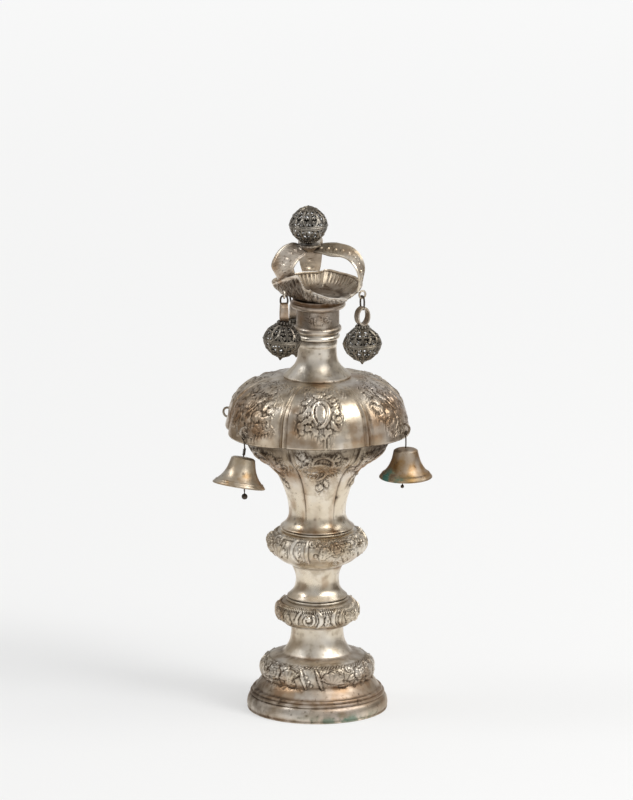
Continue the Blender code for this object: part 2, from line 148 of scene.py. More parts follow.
def runs(path: Array) -> Array:
    """Distance along a path to each of its points."""
    return np.concatenate(([0.0], np.cumsum(np.linalg.norm(np.diff(path, axis=0), axis=1))))


def spline(stations: Sequence[Sequence[float]], spacing: float) -> Array:
    """Smooth curve through stations: a cubic Hermite piece between each two, sloped by central differences.

    Args:
        stations: Points that the curve passes through, in any number of dimensions.
        spacing: Distance between the samples.

    Returns:
        The samples, one row each, the ends included.
    """
    knots = np.array(stations, float)
    at = runs(knots)
    slopes = np.gradient(knots, at, axis=0)
    places = np.linspace(0, at[-1], max(3, int(at[-1] / spacing) + 1))
    piece = np.clip(np.searchsorted(at, places, side="right") - 1, 0, len(at) - 2)
    span = (at[piece + 1] - at[piece])[:, None]
    t = (places - at[piece])[:, None] / span
    start, end = knots[piece], knots[piece + 1]
    rise = slopes[piece] * span * (t**3 - 2 * t**2 + t) + slopes[piece + 1] * span * (t**3 - t**2)
    return start * (2 * t**3 - 3 * t**2 + 1) + end * (3 * t**2 - 2 * t**3) + rise


def chained(chains: Sequence[Sequence[Station]], spacing: float) -> Array:
    """Smooth curves, each on from the end of the last one, with a corner between.

    Args:
        chains: The stations of each curve; the last one's end isn't repeated.
        spacing: Distance between the samples.

    Returns:
        The samples, one row each.
    """
    curves = [spline(chains[0], spacing)]
    for last, chain in zip(chains, chains[1:]):
        curves.append(spline((last[-1], *chain), spacing)[1:])
    return np.vstack(curves)


def lathe(radii: Array, heights: Array, turns: Array) -> Array:
    """Rings of points: the cosine and sine of each turn times the radius, and the height.

    Args:
        radii: Rows by turns, or by one.
        heights: Rows by turns, or by one.
        turns: Angles in radians.

    Returns:
        The points, rows by turns by three.
    """
    radii = np.broadcast_to(radii, (len(radii), len(turns)))
    heights = np.broadcast_to(heights, radii.shape)
    return np.stack((radii * np.cos(turns), radii * np.sin(turns), heights), axis=-1)


# --- Gathered surfaces ---


def linked(name: str, data: bpy.types.ID) -> Object:
    """A new object in the scene, with its data."""
    made = bpy.data.objects.new(name, data)
    bpy.context.scene.collection.objects.link(made)
    return made


class Mark(IntEnum):
    """The four shares that make up the stain of a point."""

    # This share carries real tarnish and also painted shade under overhangs, on the crown bowl's floor and
    # inside the filigree balls.
    TARNISH_AND_SHADE = 0
    COPPER = 1
    VERDIGRIS = 2
    MATTING = 3


def stain_of(tarnish_and_shade: float, copper: float = 0.0, verdigris: float = 0.0, matting: float = 0.0) -> Array:
    """One stain, by its shares."""
    return np.array((tarnish_and_shade, copper, verdigris, matting))


@dataclass
class Pile:
    """Closed surfaces gathered into one piece, each turned to face outwards."""

    points: list[Array] = field(default_factory=list)
    faces: list[list[int]] = field(default_factory=list)
    stains: list[Array] = field(default_factory=list)
    count: int = 0

    def add(self, points: Array, quads: Array, stain: Array) -> None:
        """Add one closed surface; a quad that repeats its last corner is a triangle.

        Args:
            points: Corners in metres, one row each.
            quads: Four corner numbers a row.
            stain: The stain of each point, or one for all.
        """
        a, b, c, d = (points[quads[:, corner]] for corner in range(4))
        if np.sum(a * np.cross(b, c)) + np.sum(a * np.cross(c, d)) < 0:
            quads = quads[:, (1, 0, 3, 2)]
        self.faces.extend([list(dict.fromkeys(corners)) for corners in (quads + self.count).tolist()])
        self.points.append(points)
        self.stains.append(np.broadcast_to(stain, (len(points), 4)))
        self.count += len(points)

    def sheet(self, grid: Array, stain: Array = CLEAN, closed: bool = True) -> None:
        """Add rings of points as a surface.

        Args:
            grid: Points in metres, rings by points by three.
            stain: A stain for each point, or one for all.
            closed: The last ring joins the first; otherwise each is closed by a fan to its middle.
        """
        rows, columns = grid.shape[:2]
        low = np.arange(rows * columns).reshape(rows, columns)
        high = np.roll(low, -1, axis=0)
        if not closed:
            low, high = low[:-1], high[:-1]
        corners = (low, np.roll(low, -1, axis=1), np.roll(high, -1, axis=1), high)
        quads = np.stack(corners, axis=-1).reshape(-1, 4)
        points = grid.reshape(-1, 3)
        stains = np.broadcast_to(stain, (rows, columns, 4)).reshape(-1, 4)
        if not closed:
            fans = ((np.roll(low[0], -1), low[0]), (high[-1], np.roll(high[-1], -1)))
            for hub, (here, there) in enumerate(fans, rows * columns):
                hubs = np.full(columns, hub)
                quads = np.vstack((quads, np.stack((here, there, hubs, hubs), axis=-1)))
            points = np.vstack((points, grid[0].mean(axis=0), grid[-1].mean(axis=0)))
            stains = np.vstack((stains, stains[:1], stains[-1:]))
        self.add(points, quads, stains)

    def tubes(
        self,
        paths: Array,
        normals: Array,
        radius: float | Array,
        sides: int = 6,
        closed: bool = False,
        stain: Array = CLEAN,
        painted_shade: float = 0.0,
    ) -> None:
        """Add round wires along paths: each point's circle lies square to the path.

        Args:
            paths: One or more paths in metres, paths by steps by three.
            normals: A direction at each step that is roughly square to the path.
            radius: Wire radius in metres, one for all or one a step.
            sides: Corners of the wire's section.
            closed: Each path's end joins its start.
            stain: One stain for the whole wire.
            painted_shade: Painted shade on the side away from the normals, laid on as tarnish besides.
        """
        if closed:
            along = np.roll(paths, -1, axis=1) - np.roll(paths, 1, axis=1)
        else:
            along = np.gradient(paths, axis=1)
        along = unit(along)
        across = unit(np.cross(along, np.broadcast_to(normals, paths.shape)))
        lift = np.cross(across, along)
        cosines, sines = np.cos(circle(sides)), np.sin(circle(sides))
        wide = np.broadcast_to(radius, paths.shape[:2])[:, :, None, None]
        ring = across[:, :, None] * cosines[:, None] + lift[:, :, None] * sines[:, None]
        # Painted shade: the side of the wire away from its normal is darkened.
        stains = stain + np.outer((1 - sines) / 2 * painted_shade, (1, 0, 0, 0))
        for grid in paths[:, :, None] + ring * wide:
            self.sheet(grid, stains[None], closed)

    def beads(self, centres: Array, radius: float, stain: Array = CLEAN, sides: int = 6) -> None:
        """Add small round granules, each a globe of latitude rings.

        Args:
            centres: Their middles in metres, one row each.
            radius: Their radius in metres.
            stain: One stain for all.
            sides: Corners of each ring.
        """
        levels = np.radians((-55, 0, 55))
        globe = lathe(np.cos(levels)[:, None], np.sin(levels)[:, None], circle(sides))
        for centre in centres:
            self.sheet(centre + globe * radius, stain, False)

    def piece(self, node: str, finish: "Finish", smooth: float = 42.0) -> Object:
        """Make the gathered surfaces one object that stands for a node and rides on the root body.

        Args:
            node: The node that it replaces.
            finish: What it is made of; its kind starts the object's name.
            smooth: Edges sharper than this angle stay crisp.

        Returns:
            The object.
        """
        name = f"{finish.kind}_{node}"
        mesh = bpy.data.meshes.new(name)
        mesh.from_pydata(np.vstack(self.points).tolist(), [], self.faces)
        mesh.shade_smooth()
        mesh.set_sharp_from_angle(angle=math.radians(smooth))
        layer = mesh.color_attributes.new(name="stain", type="FLOAT_COLOR", domain="POINT")
        layer.data.foreach_set("color", np.clip(np.vstack(self.stains), 0, 1).ravel())
        mesh.materials.append(finish.material())
        made = linked(name, mesh)
        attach(made, "root")
        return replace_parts(made, node)


# --- Finishes ---


class Graph:
    """A material's nodes, with short ways to add the ones that the finishes use."""

    def __init__(self, name: str) -> None:
        """Start a material with a bare Principled shader."""
        self.material = bpy.data.materials.new(name)
        self.material.use_nodes = True
        self.tree = self.material.node_tree
        self.shader = self.tree.nodes["Principled BSDF"]
        self.place = self.node("TexCoord", {})["Object"]
        stain = self.node("Attribute", {}, attribute_name="stain")
        self.tarnish_and_shade, self.copper, self.verdigris = self.node("SeparateColor", {"Color": stain["Color"]})
        self.matting = stain["Alpha"]

    def node(self, kind: str, feeds: dict, **options: object) -> bpy.types.NodeOutputs:
        """Add a node.

        Args:
            kind: Its type, less the ShaderNode at the front.
            feeds: What goes into its sockets, by their names or numbers.
            options: Its other settings.

        Returns:
            Its outputs.
        """
        node = self.tree.nodes.new(f"ShaderNode{kind}")
        for name, value in options.items():
            setattr(node, name, value)
        for socket, value in feeds.items():
            self.link(value, node.inputs[socket])
        return node.outputs

    def link(self, value: object, socket: Socket) -> None:
        """Feed a socket from another one, or set it to a value."""
        if isinstance(value, Socket):
            self.tree.links.new(value, socket)
        elif isinstance(value, tuple) and len(value) == 3 and len(socket.default_value) == 4:
            socket.default_value = (*value, 1.0)
        else:
            socket.default_value = value

    def noise(self, scale: float, detail: float = 3.0, stretch: tuple = (1, 1, 1)) -> Socket:
        """Smooth noise on the piece's own coordinates, from 0 to 1.

        Args:
            scale: Waves a metre.
            detail: Finer octaves.
            stretch: How much the pattern is squeezed along each axis.

        Returns:
            The noise's value.
        """
        place = self.node("Mapping", {"Vector": self.place, "Scale": Vector(stretch)})[0]
        return self.node("TexNoise", {"Vector": place, "Scale": scale, "Detail": detail})["Fac"]

    def swirl(self, scale: float, distortion: float) -> Socket:
        """Wavering parallel lines, from 0 in the troughs to 1 on the crests.

        Args:
            scale: Lines a metre, divided by three.
            distortion: How far noise pushes them aside.

        Returns:
            The lines' value.
        """
        feeds = {"Scale": scale, "Distortion": distortion, "Detail": 2.0, "Detail Scale": 1.3}
        return self.node("TexWave", {"Vector": self.place, **feeds})["Fac"]

    def math(self, operation: str, first: object, second: object = 0.0) -> Socket:
        """One arithmetic step, clamped to 0 to 1."""
        return self.node("Math", {0: first, 1: second}, operation=operation, use_clamp=True)[0]

    def spread(self, value: object, low: float, high: float, to: Station = (0.0, 1.0)) -> Socket:
        """A value's stretch from low to high, mapped smoothly to another one.

        Args:
            value: What is mapped.
            low: Where it starts.
            high: Where it ends.
            to: The two results.

        Returns:
            The mapped value.
        """
        feeds = {"Value": value, "From Min": low, "From Max": high, "To Min": to[0], "To Max": to[1]}
        return self.node("MapRange", feeds, interpolation_type="SMOOTHSTEP")["Result"]

    def blend(self, share: object, first: object, second: object) -> Socket:
        """A colour between two by a share."""
        return self.node("Mix", {0: share, 6: first, 7: second}, data_type="RGBA")[2]

    def bump(self, height: object, depth: float, strength: float, **under: object) -> Socket:
        """A bumped normal.

        Args:
            height: The bump's height from 0 to 1.
            depth: What a height of 1 stands for, in millimetres.
            strength: How much of it shows.
            under: As Normal, another bump beneath this one.

        Returns:
            The normal.
        """
        feeds = {"Strength": strength, "Distance": depth * MM, "Height": height, **under}
        return self.node("Bump", feeds)["Normal"]

    def dress(self, **sockets: object) -> bpy.types.Material:
        """Feed the shader's sockets by name, with an underscore for a space, and give the material."""
        for name, value in sockets.items():
            self.link(value, self.shader.inputs[name.replace("_", " ")])
        return self.material


@dataclass(frozen=True)
class Finish:
    """Old silver: polish worn unevenly, tarnish lying in the hollows, and warmer copper where it is thin.

    Colours are linear. The stain attribute says where tarnish and painted shade, copper, verdigris and
    matting lie.
    """

    name: str
    slot: str
    kind: str
    white: Colour = (0.93, 0.865, 0.765)
    bright: Colour = (0.82, 0.715, 0.56)
    dull: Colour = (0.44, 0.35, 0.24)
    tarnish_and_shade: Colour = (0.092, 0.062, 0.038)
    copper: Colour = (0.42, 0.275, 0.165)
    verdigris: Colour = (0.10, 0.22, 0.16)
    lilac: Colour = (0.62, 0.53, 0.51)
    polish: float = 0.24
    wear: float = 0.22
    grain: float = 0.05

    def material(self) -> bpy.types.Material:
        """The material, made once and then shared."""
        made = bpy.data.materials.get(self.name)
        return made if made else self.build()

    def build(self) -> bpy.types.Material:
        """Mix the colours by noise and stain, and bump them with dents, planishing and chased lines."""
        g = Graph(self.name)
        cloud = g.noise(38, 4)
        mottle = g.noise(210, 5)
        speck = g.noise(1500, 3)
        drift = g.noise(17, 2)
        colour = g.blend(g.spread(g.noise(52, 4), 0.36, 0.60), self.white, self.bright)
        colour = g.blend(g.spread(cloud, 0.46, 0.72), colour, self.dull)
        colour = g.blend(g.spread(mottle, 0.50, 0.70, (0.0, 0.55)), colour, self.dull)
        colour = g.blend(g.spread(drift, 0.50, 0.72, (0.0, 0.5)), colour, self.lilac)
        warm = g.math("MULTIPLY", g.copper, g.spread(mottle, 0.30, 0.62, (0.45, 1.0)))
        stray = g.spread(g.noise(75, 4), 0.57, 0.70, (0.0, 0.55))
        colour = g.blend(g.math("ADD", warm, stray), colour, self.copper)
        # This darkening is the tarnish share, painted shade included, with specks, matted troughs and pits
        # added.
        soot_and_shade = g.math("MULTIPLY", g.tarnish_and_shade, g.spread(mottle, 0.25, 0.60, (0.55, 1.0)))
        spots = g.spread(speck, 0.68, 0.80, (0.0, 0.5))
        soot_and_shade = g.math("ADD", soot_and_shade, g.math("MULTIPLY", spots, g.spread(cloud, 0.45, 0.60)))
        swirl = g.swirl(170, 9.0)
        trough = g.math("MULTIPLY", g.matting, g.spread(swirl, 0.0, 0.45, (0.34, 0.0)))
        soot_and_shade = g.math("ADD", soot_and_shade, trough)
        pits = g.spread(g.noise(420, 5), 0.60, 0.72, (0.0, 0.45))
        soot_and_shade = g.math("ADD", soot_and_shade, g.math("MULTIPLY", pits, g.spread(drift, 0.35, 0.60)))
        colour = g.blend(soot_and_shade, colour, self.tarnish_and_shade)
        green = g.math("MULTIPLY", g.verdigris, g.spread(mottle, 0.35, 0.60))
        colour = g.blend(green, colour, self.verdigris)
        smear = g.noise(120, 4, (1, 1, 0.35))
        rough = g.spread(smear, 0.30, 0.75, (self.polish, self.polish + self.wear))
        rough = g.math("ADD", rough, g.math("MULTIPLY", soot_and_shade, 0.30))
        rough = g.math("ADD", rough, g.math("MULTIPLY", green, 0.5))
        metal = g.math("SUBTRACT", 1.0, g.math("MAXIMUM", g.math("MULTIPLY", soot_and_shade, 0.35), green))
        dents = g.bump(g.noise(95, 2), 0.5, 0.30)
        planish = g.bump(mottle, 0.12, 0.24, Normal=dents)
        lines = g.math("MULTIPLY", g.matting, swirl)
        normal = g.bump(lines, 0.9, 1.0, Normal=planish)
        normal = g.bump(g.math("MULTIPLY", g.matting, g.noise(2600, 1)), 0.2, 0.6, Normal=normal)
        normal = g.bump(speck, self.grain, 0.25, Normal=normal)
        return g.dress(Base_Color=colour, Roughness=rough, Metallic=metal, Normal=normal)


SILVER = Finish("aged_silver", "silver", "silver")
BELL_METAL = Finish(
    "worn_gilt_bell",
    "bell_metal",
    "gilt",
    white=(0.68, 0.62, 0.51),
    bright=(0.58, 0.50, 0.37),
    dull=(0.42, 0.34, 0.23),
    copper=(0.42, 0.24, 0.090),
    verdigris=(0.05, 0.15, 0.115),
    polish=0.26,
    grain=0.14,
)
FILIGREE = Finish(
    "oxidised_filigree",
    "filigree",
    "filigree",
    white=(0.36, 0.33, 0.285),
    bright=(0.27, 0.235, 0.185),
    dull=(0.10, 0.080, 0.058),
    copper=(0.12, 0.085, 0.055),
    tarnish_and_shade=(0.012, 0.009, 0.007),
    lilac=(0.14, 0.125, 0.12),
    polish=0.14,
)
WIRE = Finish(
    "dark_wire",
    "wire",
    "wire",
    white=(0.13, 0.115, 0.10),
    bright=(0.11, 0.10, 0.085),
    dull=(0.060, 0.052, 0.045),
    copper=(0.09, 0.055, 0.035),
    lilac=(0.08, 0.075, 0.075),
    polish=0.42,
)
SOOTY = stain_of(0.55, 0.1)


# --- Chased ornament ---


@dataclass(frozen=True)
class Bead:
    """A round boss or, with a length, an oval one."""

    radius: float
    height: float
    stretch: float = 1.0

    @property
    def reach(self) -> float:
        """How far it goes from its middle."""
        return self.radius * max(1.0, self.stretch)

    def height_at(self, x: Array, y: Array) -> Array:
        """Rounded over the distance from its middle."""
        return self.height * boss((x**2 + (y / self.stretch) ** 2) / self.radius**2)


@dataclass(frozen=True)
class Leaf:
    """An acanthus leaf from its foot along +y, with a lobed edge, a midrib and side veins."""

    length: float
    width: float
    height: float
    curl: float = 0.0
    lobes: float = 4.0

    @property
    def reach(self) -> float:
        """How far it goes from its foot."""
        return self.length * 1.15 + abs(self.curl)

    def height_at(self, x: Array, y: Array) -> Array:
        """Rounded across a half width that swells and is scalloped along the leaf, less the grooves."""
        t = np.clip(y / self.length, 0, 1)
        x = x - self.curl * t**2
        scallop = 0.74 + 0.26 * np.abs(np.sin(self.lobes * math.pi * t))
        half = self.width * np.sin(math.pi * t**0.7) * scallop + 1e-6
        body = np.clip(1 - (x / half) ** 2, 0, 1)
        midrib = 0.45 * bell(x, 0.0, 0.13 * self.width)
        veins = 0.22 * np.cos(TURN * (self.lobes * t - 0.7 * np.abs(x) / self.width))
        shown = (y > 0) & (y < self.length) & (body > 0)
        return np.where(shown, self.height * (body**0.4 * (0.85 + veins) - midrib * body), 0.0)


@dataclass(frozen=True)
class Scroll:
    """A spiral ridge that winds into a bead, from the outside on the +y side."""

    radius: float
    turns: float
    width: float
    height: float
    hand: int = 1

    @property
    def reach(self) -> float:
        """How far it goes from its eye."""
        return self.radius + self.width

    def height_at(self, x: Array, y: Array) -> Array:
        """Rounded over the distance to the nearest winding, whose radius shrinks evenly with angle."""
        radius = np.hypot(x, y)
        angle = np.mod(np.arctan2(self.hand * x, y), TURN)
        height = np.zeros_like(x)
        for winding in range(math.ceil(self.turns)):
            wound = (angle + winding * TURN) / (TURN * self.turns)
            away = radius - self.radius * (1 - 0.85 * wound)
            height = np.maximum(height, np.where(wound <= 1, boss((away / self.width) ** 2), 0))
        return self.height * np.maximum(height, boss((radius / (0.28 * self.radius)) ** 2))


@dataclass(frozen=True)
class Rose:
    """An open flower: two rings of cupped petals, twisted a little, round a bead."""

    radius: float
    petals: int
    height: float
    twist: float = 0.8

    @property
    def reach(self) -> float:
        """How far it goes from its middle."""
        return self.radius

    def height_at(self, x: Array, y: Array) -> Array:
        """A domed disc scalloped by the cosine of its angle, with a groove between its rings."""
        share = np.hypot(x, y) / self.radius
        angle = np.arctan2(y, x) + self.twist * share
        inner = np.abs(np.cos(angle * self.petals / 2 + math.pi / 2))
        outer = np.abs(np.cos(angle * self.petals / 2))
        edge = 0.80 + 0.20 * outer
        ring = np.where(share > 0.55, outer, inner) ** 0.7
        dome = boss((share / edge) ** 2) * (0.45 + 0.55 * ring)
        groove = 0.35 * bell(share, 0.55, 0.07)
        bead = 0.75 * bell(share, 0.0, 0.2)
        return np.where(share < edge, self.height * np.maximum(dome - groove, bead), 0.0)


@dataclass(frozen=True)
class Shell:
    """A fan of flutes that opens along +y from its hinge."""

    radius: float
    spread: float
    flutes: int
    height: float

    @property
    def reach(self) -> float:
        """How far it goes from its hinge."""
        return self.radius

    def height_at(self, x: Array, y: Array) -> Array:
        """Rises with distance from the hinge, and is rounded over each flute's share of the fan."""
        share = np.hypot(x, y) / self.radius
        across = np.arctan2(x, y) / math.radians(self.spread)
        wave = np.abs(np.sin(across * self.flutes * math.pi))
        shown = (np.abs(across) < 0.5) & (share < 0.90 + 0.10 * wave)
        return np.where(shown, self.height * (0.35 + 0.65 * share) * (0.45 + 0.55 * wave**0.6), 0.0)


@dataclass(frozen=True)
class Ridge:
    """A raised moulding along a smooth line, thinner at its ends."""

    line: tuple[Station, ...]
    width: float
    height: float
    taper: float = 0.7

    @property
    def reach(self) -> float:
        """How far it goes from the line's own zero point."""
        return max(math.hypot(*point) for point in self.line) + self.width

    def height_at(self, x: Array, y: Array) -> Array:
        """Rounded over the distance to the nearest sample of the line."""
        samples = spline(self.line, max(self.width * 0.5, 0.2))
        away = np.hypot(x[:, None] - samples[:, 0], y[:, None] - samples[:, 1])
        along = away.argmin(axis=1) / (len(samples) - 1)
        width = self.width * (1 - self.taper * np.abs(2 * along - 1) ** 2)
        return self.height * boss((away.min(axis=1) / width) ** 2)


Motif = Bead | Leaf | Scroll | Rose | Shell | Ridge


@dataclass
class Chasing:
    """Raised work over a wall's grid of runs by azimuths, kept as a height above the bare wall."""

    azimuth: Array
    girth: Array
    level: Array
    run: Array
    height: Array = field(init=False)

    def __post_init__(self) -> None:
        """Start with a bare wall."""
        self.height = np.zeros((len(self.run), len(self.azimuth)))

    def at(self, level: float) -> float:
        """The run at which the wall reaches a level."""
        return float(np.interp(level, self.level, self.run))

    def beside(self, azimuth: float, across: float, run: float) -> float:
        """The azimuth that lies so many millimetres beside another one, at a run."""
        return azimuth + math.degrees(across / float(np.interp(run, self.run, self.girth)))

    def lay(self, motif: Motif, azimuth: float, run: float, turn: float = 0.0) -> None:
        """Raise a motif on the wall; where two meet, the higher one shows.

        Args:
            motif: What is raised.
            azimuth: Where its own zero point is, round the wall.
            run: Where it is along the wall.
            turn: Degrees that it is turned clockwise.
        """
        reach = motif.reach * 1.45
        rows = np.flatnonzero(np.abs(self.run - run) < reach)
        if not len(rows):
            return
        beside = np.radians(off(self.azimuth, azimuth))
        girth = self.girth[rows]
        columns = np.flatnonzero(np.abs(beside) * girth.max() < reach)
        x = beside[columns][None, :] * girth[:, None]
        y = np.broadcast_to((self.run[rows] - run)[:, None], x.shape)
        c, s = math.cos(math.radians(turn)), math.sin(math.radians(turn))
        raised = motif.height_at((x * c - y * s).ravel(), (y * c + x * s).ravel()).reshape(x.shape)
        window = np.ix_(rows, columns)
        self.height[window] = np.maximum(self.height[window], raised)

    def group(self, centre: float, *rows: tuple) -> None:
        """Lay motifs round an azimuth, each given with its degrees from there, its level and its turn."""
        for motif, azimuth, level, *turn in rows:
            self.lay(motif, centre + azimuth, self.at(level), *turn)

    def cluster(self, centre: float, base: float, *rows: tuple) -> None:
        """Lay motifs round a spot, each given with its millimetres across and along, and its turn."""
        for motif, x, y, *turn in rows:
            self.lay(motif, self.beside(centre, x, base + y), base + y, *turn)

    def hatch(self, stroke: Motif, azimuths: Array, level: float, turn: float) -> None:
        """Lay the same stroke at each of some azimuths."""
        for azimuth in azimuths:
            self.lay(stroke, azimuth, self.at(level), turn)

    def clear(self, azimuth: float, run: float, radius: float) -> None:
        """Smooth a round field away before something is laid there."""
        x = np.radians(off(self.azimuth, azimuth))[None, :] * self.girth[:, None]
        self.height[np.hypot(x, (self.run - run)[:, None]) < radius] = 0.0

    def settle(self, depth: float, cut: float, ease: float) -> None:
        """Flatten the work to low relief, cut a line into the ground round each form, and ease the edges.

        Args:
            depth: Share of the laid heights that is kept.
            cut: Depth of the line.
            ease: Share of each height that is the average of its neighbours.
        """
        raised = near(self.height > 0.08, 1)
        line = np.clip(1.6 * raised, 0, 1) * (self.height < 0.25)
        level = depth * self.height - cut * line
        rows = np.pad(level, ((1, 1), (0, 0)), mode="edge")
        eased = (rows[:-2] + 2 * level + rows[2:]) / 4
        eased = (np.roll(eased, 1, axis=1) + 2 * eased + np.roll(eased, -1, axis=1)) / 4
        self.height = level + ease * (eased - level)

    def scatter(self, seed: int, place: Station, spread: Station, count: int, height: float = 0.8) -> None:
        """Fill a field with small scrolls, leaves and curls, dealt by a seeded hand.

        Args:
            seed: Which hand.
            place: Azimuth and run of the field's middle.
            spread: Its half widths, in degrees and millimetres.
            count: How many.
            height: Their height.
        """
        hand = np.random.default_rng(seed)
        spots = hand.uniform(-1, 1, (count, 2))
        turns, sizes = hand.uniform(0, 360, count), hand.uniform(0.8, 1.25, count)
        kinds, ways = hand.integers(0, 4, count), hand.choice((-1, 1), count)
        for (x, y), turn, size, kind, way in zip(spots, turns, sizes, kinds, ways):
            curl = ((-1.6 * size, -2.2), (0.6 * way, -1.0), (1.3 * size, 0.8), (0.2, 2.4 * size))
            motif = (
                Scroll(1.7 * size, 1.5, 0.42, height, int(way)),
                Leaf(4.6 * size, 1.3 * size, height, 1.4 * way, 3),
                Ridge(curl, 0.5, height),
                Leaf(3.4 * size, 0.9, 0.8 * height, -1.2 * way, 2),
            )[kind]
            self.lay(motif, place[0] + x * spread[0], place[1] + y * spread[1], float(turn))

    def crevices(self) -> Array:
        """How far each point lies below the average of its neighbours, from 0 to 1."""
        return np.clip((blurred(self.height, 2) - self.height) * 5.0, 0, 1)


def blurred(grid: Array, reach: int) -> Array:
    """Average of each point's neighbours.

    Args:
        grid: Values, runs by azimuths.
        reach: How many runs and azimuths away a neighbour may be.

    Returns:
        The averages, in the same rows and columns.
    """
    rows = np.pad(grid, ((reach, reach), (0, 0)), mode="edge")
    count = 2 * reach + 1
    level = sum(rows[step : step + len(grid)] for step in range(count)) / count
    return sum(np.roll(level, step, axis=1) for step in range(-reach, reach + 1)) / count


def near(mask: Array, reach: int) -> Array:
    """Share of a point's neighbourhood where the mask holds, raised and capped."""
    return np.clip(blurred(mask.astype(float), reach) * 2.2, 0, 1)


# --- Turned walls ---


def spots(azimuths: Array, heights: Array, *places: tuple) -> Array:
    """Soft-edged spots on a wall, each falling away as a bell curve, added up.

    Args:
        azimuths: Each column's azimuth.
        heights: Each row's height.
        places: Azimuth, height, half widths in degrees and millimetres, and strength of each.

    Returns:
        Their sum, rows by columns.
    """
    total = np.zeros((len(heights), len(azimuths)))
    for azimuth, height, wide, tall, share in places:
        across = off(azimuths, azimuth) / wide
        total += share * np.exp(-(across**2) - ((heights[:, None] - height) / tall) ** 2)
    return total


@dataclass
class Coat:
    """The stain of a wall's rows and columns, laid on by touches."""

    azimuths: Array
    heights: Array
    stain: Array = field(init=False)

    def __post_init__(self) -> None:
        """Start with a clean wall."""
        self.stain = np.zeros((len(self.heights), len(self.azimuths), 4))

    def touch(self, mark: Mark, shares: Array | float) -> None:
        """Add to one share everywhere, by rows, or by rows and columns."""
        self.stain[..., mark] += shares[:, None] if np.ndim(shares) == 1 else shares

    def spots(self, mark: Mark, *places: tuple) -> None:
        """Add soft spots: azimuth, height, half widths and strength of each."""
        self.touch(mark, spots(self.azimuths, self.heights, *places))

    def lines(self, mark: Mark, *lines: tuple) -> None:
        """Add soft lines all round: height, half width and strength of each."""
        for height, width, share in lines:
            self.touch(mark, share * bell(self.heights, height, width))

    def fade(self, mark: Mark, start: float, length: float, share: float) -> None:
        """Add a stain that grows from nothing at one height to its full share a length away."""
        self.touch(mark, share * ramp(self.heights, start, length))

    def band(self, low: float, high: float, tarnish_and_shade: float, copper: float) -> None:
        """Add the share of tarnish and painted shade, and copper, evenly between two heights."""
        inside = (self.heights > low) & (self.heights < high)
        self.touch(Mark.TARNISH_AND_SHADE, tarnish_and_shade * inside)
        self.touch(Mark.COPPER, copper * inside)


@dataclass
class Turned:
    """A closed wall carried round the axis: chains of outer stations, then plain inner ones.

    Each chain is a smooth curve, and the profile has a corner where two chains meet. Subclasses carve
    the outside, swell it into lobes and stain it.
    """

    node: str
    outer: tuple[tuple[Station, ...], ...]
    inner: tuple[Station, ...]
    columns: int = 240
    spacing: float = 0.4
    depth: float = 0.5
    cut: float = 0.12
    ease: float = 0.75
    grime: float = 0.0
    chased: float = 1.0
    offset: float = 0.0

    def profile(self) -> tuple[Array, int]:
        """The section as (radius, height) samples, and how many of them lie outside."""
        outside = chained(self.outer, self.spacing)
        inside = spline((self.outer[-1][-1], *self.inner, self.outer[0][0]), 2.0)[1:-1]
        return np.vstack((outside, inside)), len(outside)

    def carve(self, work: Chasing) -> None:
        """Raise the ornament; a plain wall has none."""

    def swell(self, azimuths: Array, radii: Array, heights: Array) -> Array:
        """How much the wall stands out from its turned shape, in millimetres, runs by azimuths."""
        return np.zeros((len(radii), len(azimuths)))

    def tint(self, coat: Coat) -> None:
        """Lay extra stain on the outside; a plain wall has none."""

    def build(self) -> Object:
        """Carry the profile round, stand the ornament off it along its normal, and stain the hollows.

        Returns:
            The piece.
        """
        section, outside = self.profile()
        azimuths = np.arange(self.columns) * 360 / self.columns
        steps = np.gradient(section, axis=0)
        normals = unit(np.column_stack((steps[:, 1], -steps[:, 0])))
        radii, heights = section.T
        work = Chasing(azimuths, radii[:outside], heights[:outside], runs(section[:outside]))
        self.carve(work)
        work.settle(self.depth, self.cut, self.ease)
        raised = np.zeros((len(section), self.columns))
        raised[:outside] = work.height
        wide = radii[:, None] + self.swell(azimuths, radii, heights) + normals[:, :1] * raised
        tall = heights[:, None] + normals[:, 1:] * raised
        grid = lathe(wide, tall, np.radians(azimuths - 90))
        grid[..., 0] += self.offset
        stain = np.zeros((*wide.shape, 4))
        ground = np.clip(1 - work.height / 0.2, 0, 1) * near(work.height > 0.1, 5)
        stain[:outside, :, Mark.TARNISH_AND_SHADE] = work.crevices() * 0.75 + ground * 0.12 + self.grime
        stain[:outside, :, Mark.MATTING] = ground * self.chased
        stain[outside:, :, Mark.TARNISH_AND_SHADE] = 0.7
        coat = Coat(azimuths, heights[:outside])
        self.tint(coat)
        stain[:outside] += coat.stain
        pile = Pile()
        pile.sheet(grid * MM, stain)
        return pile.piece(self.node, SILVER)


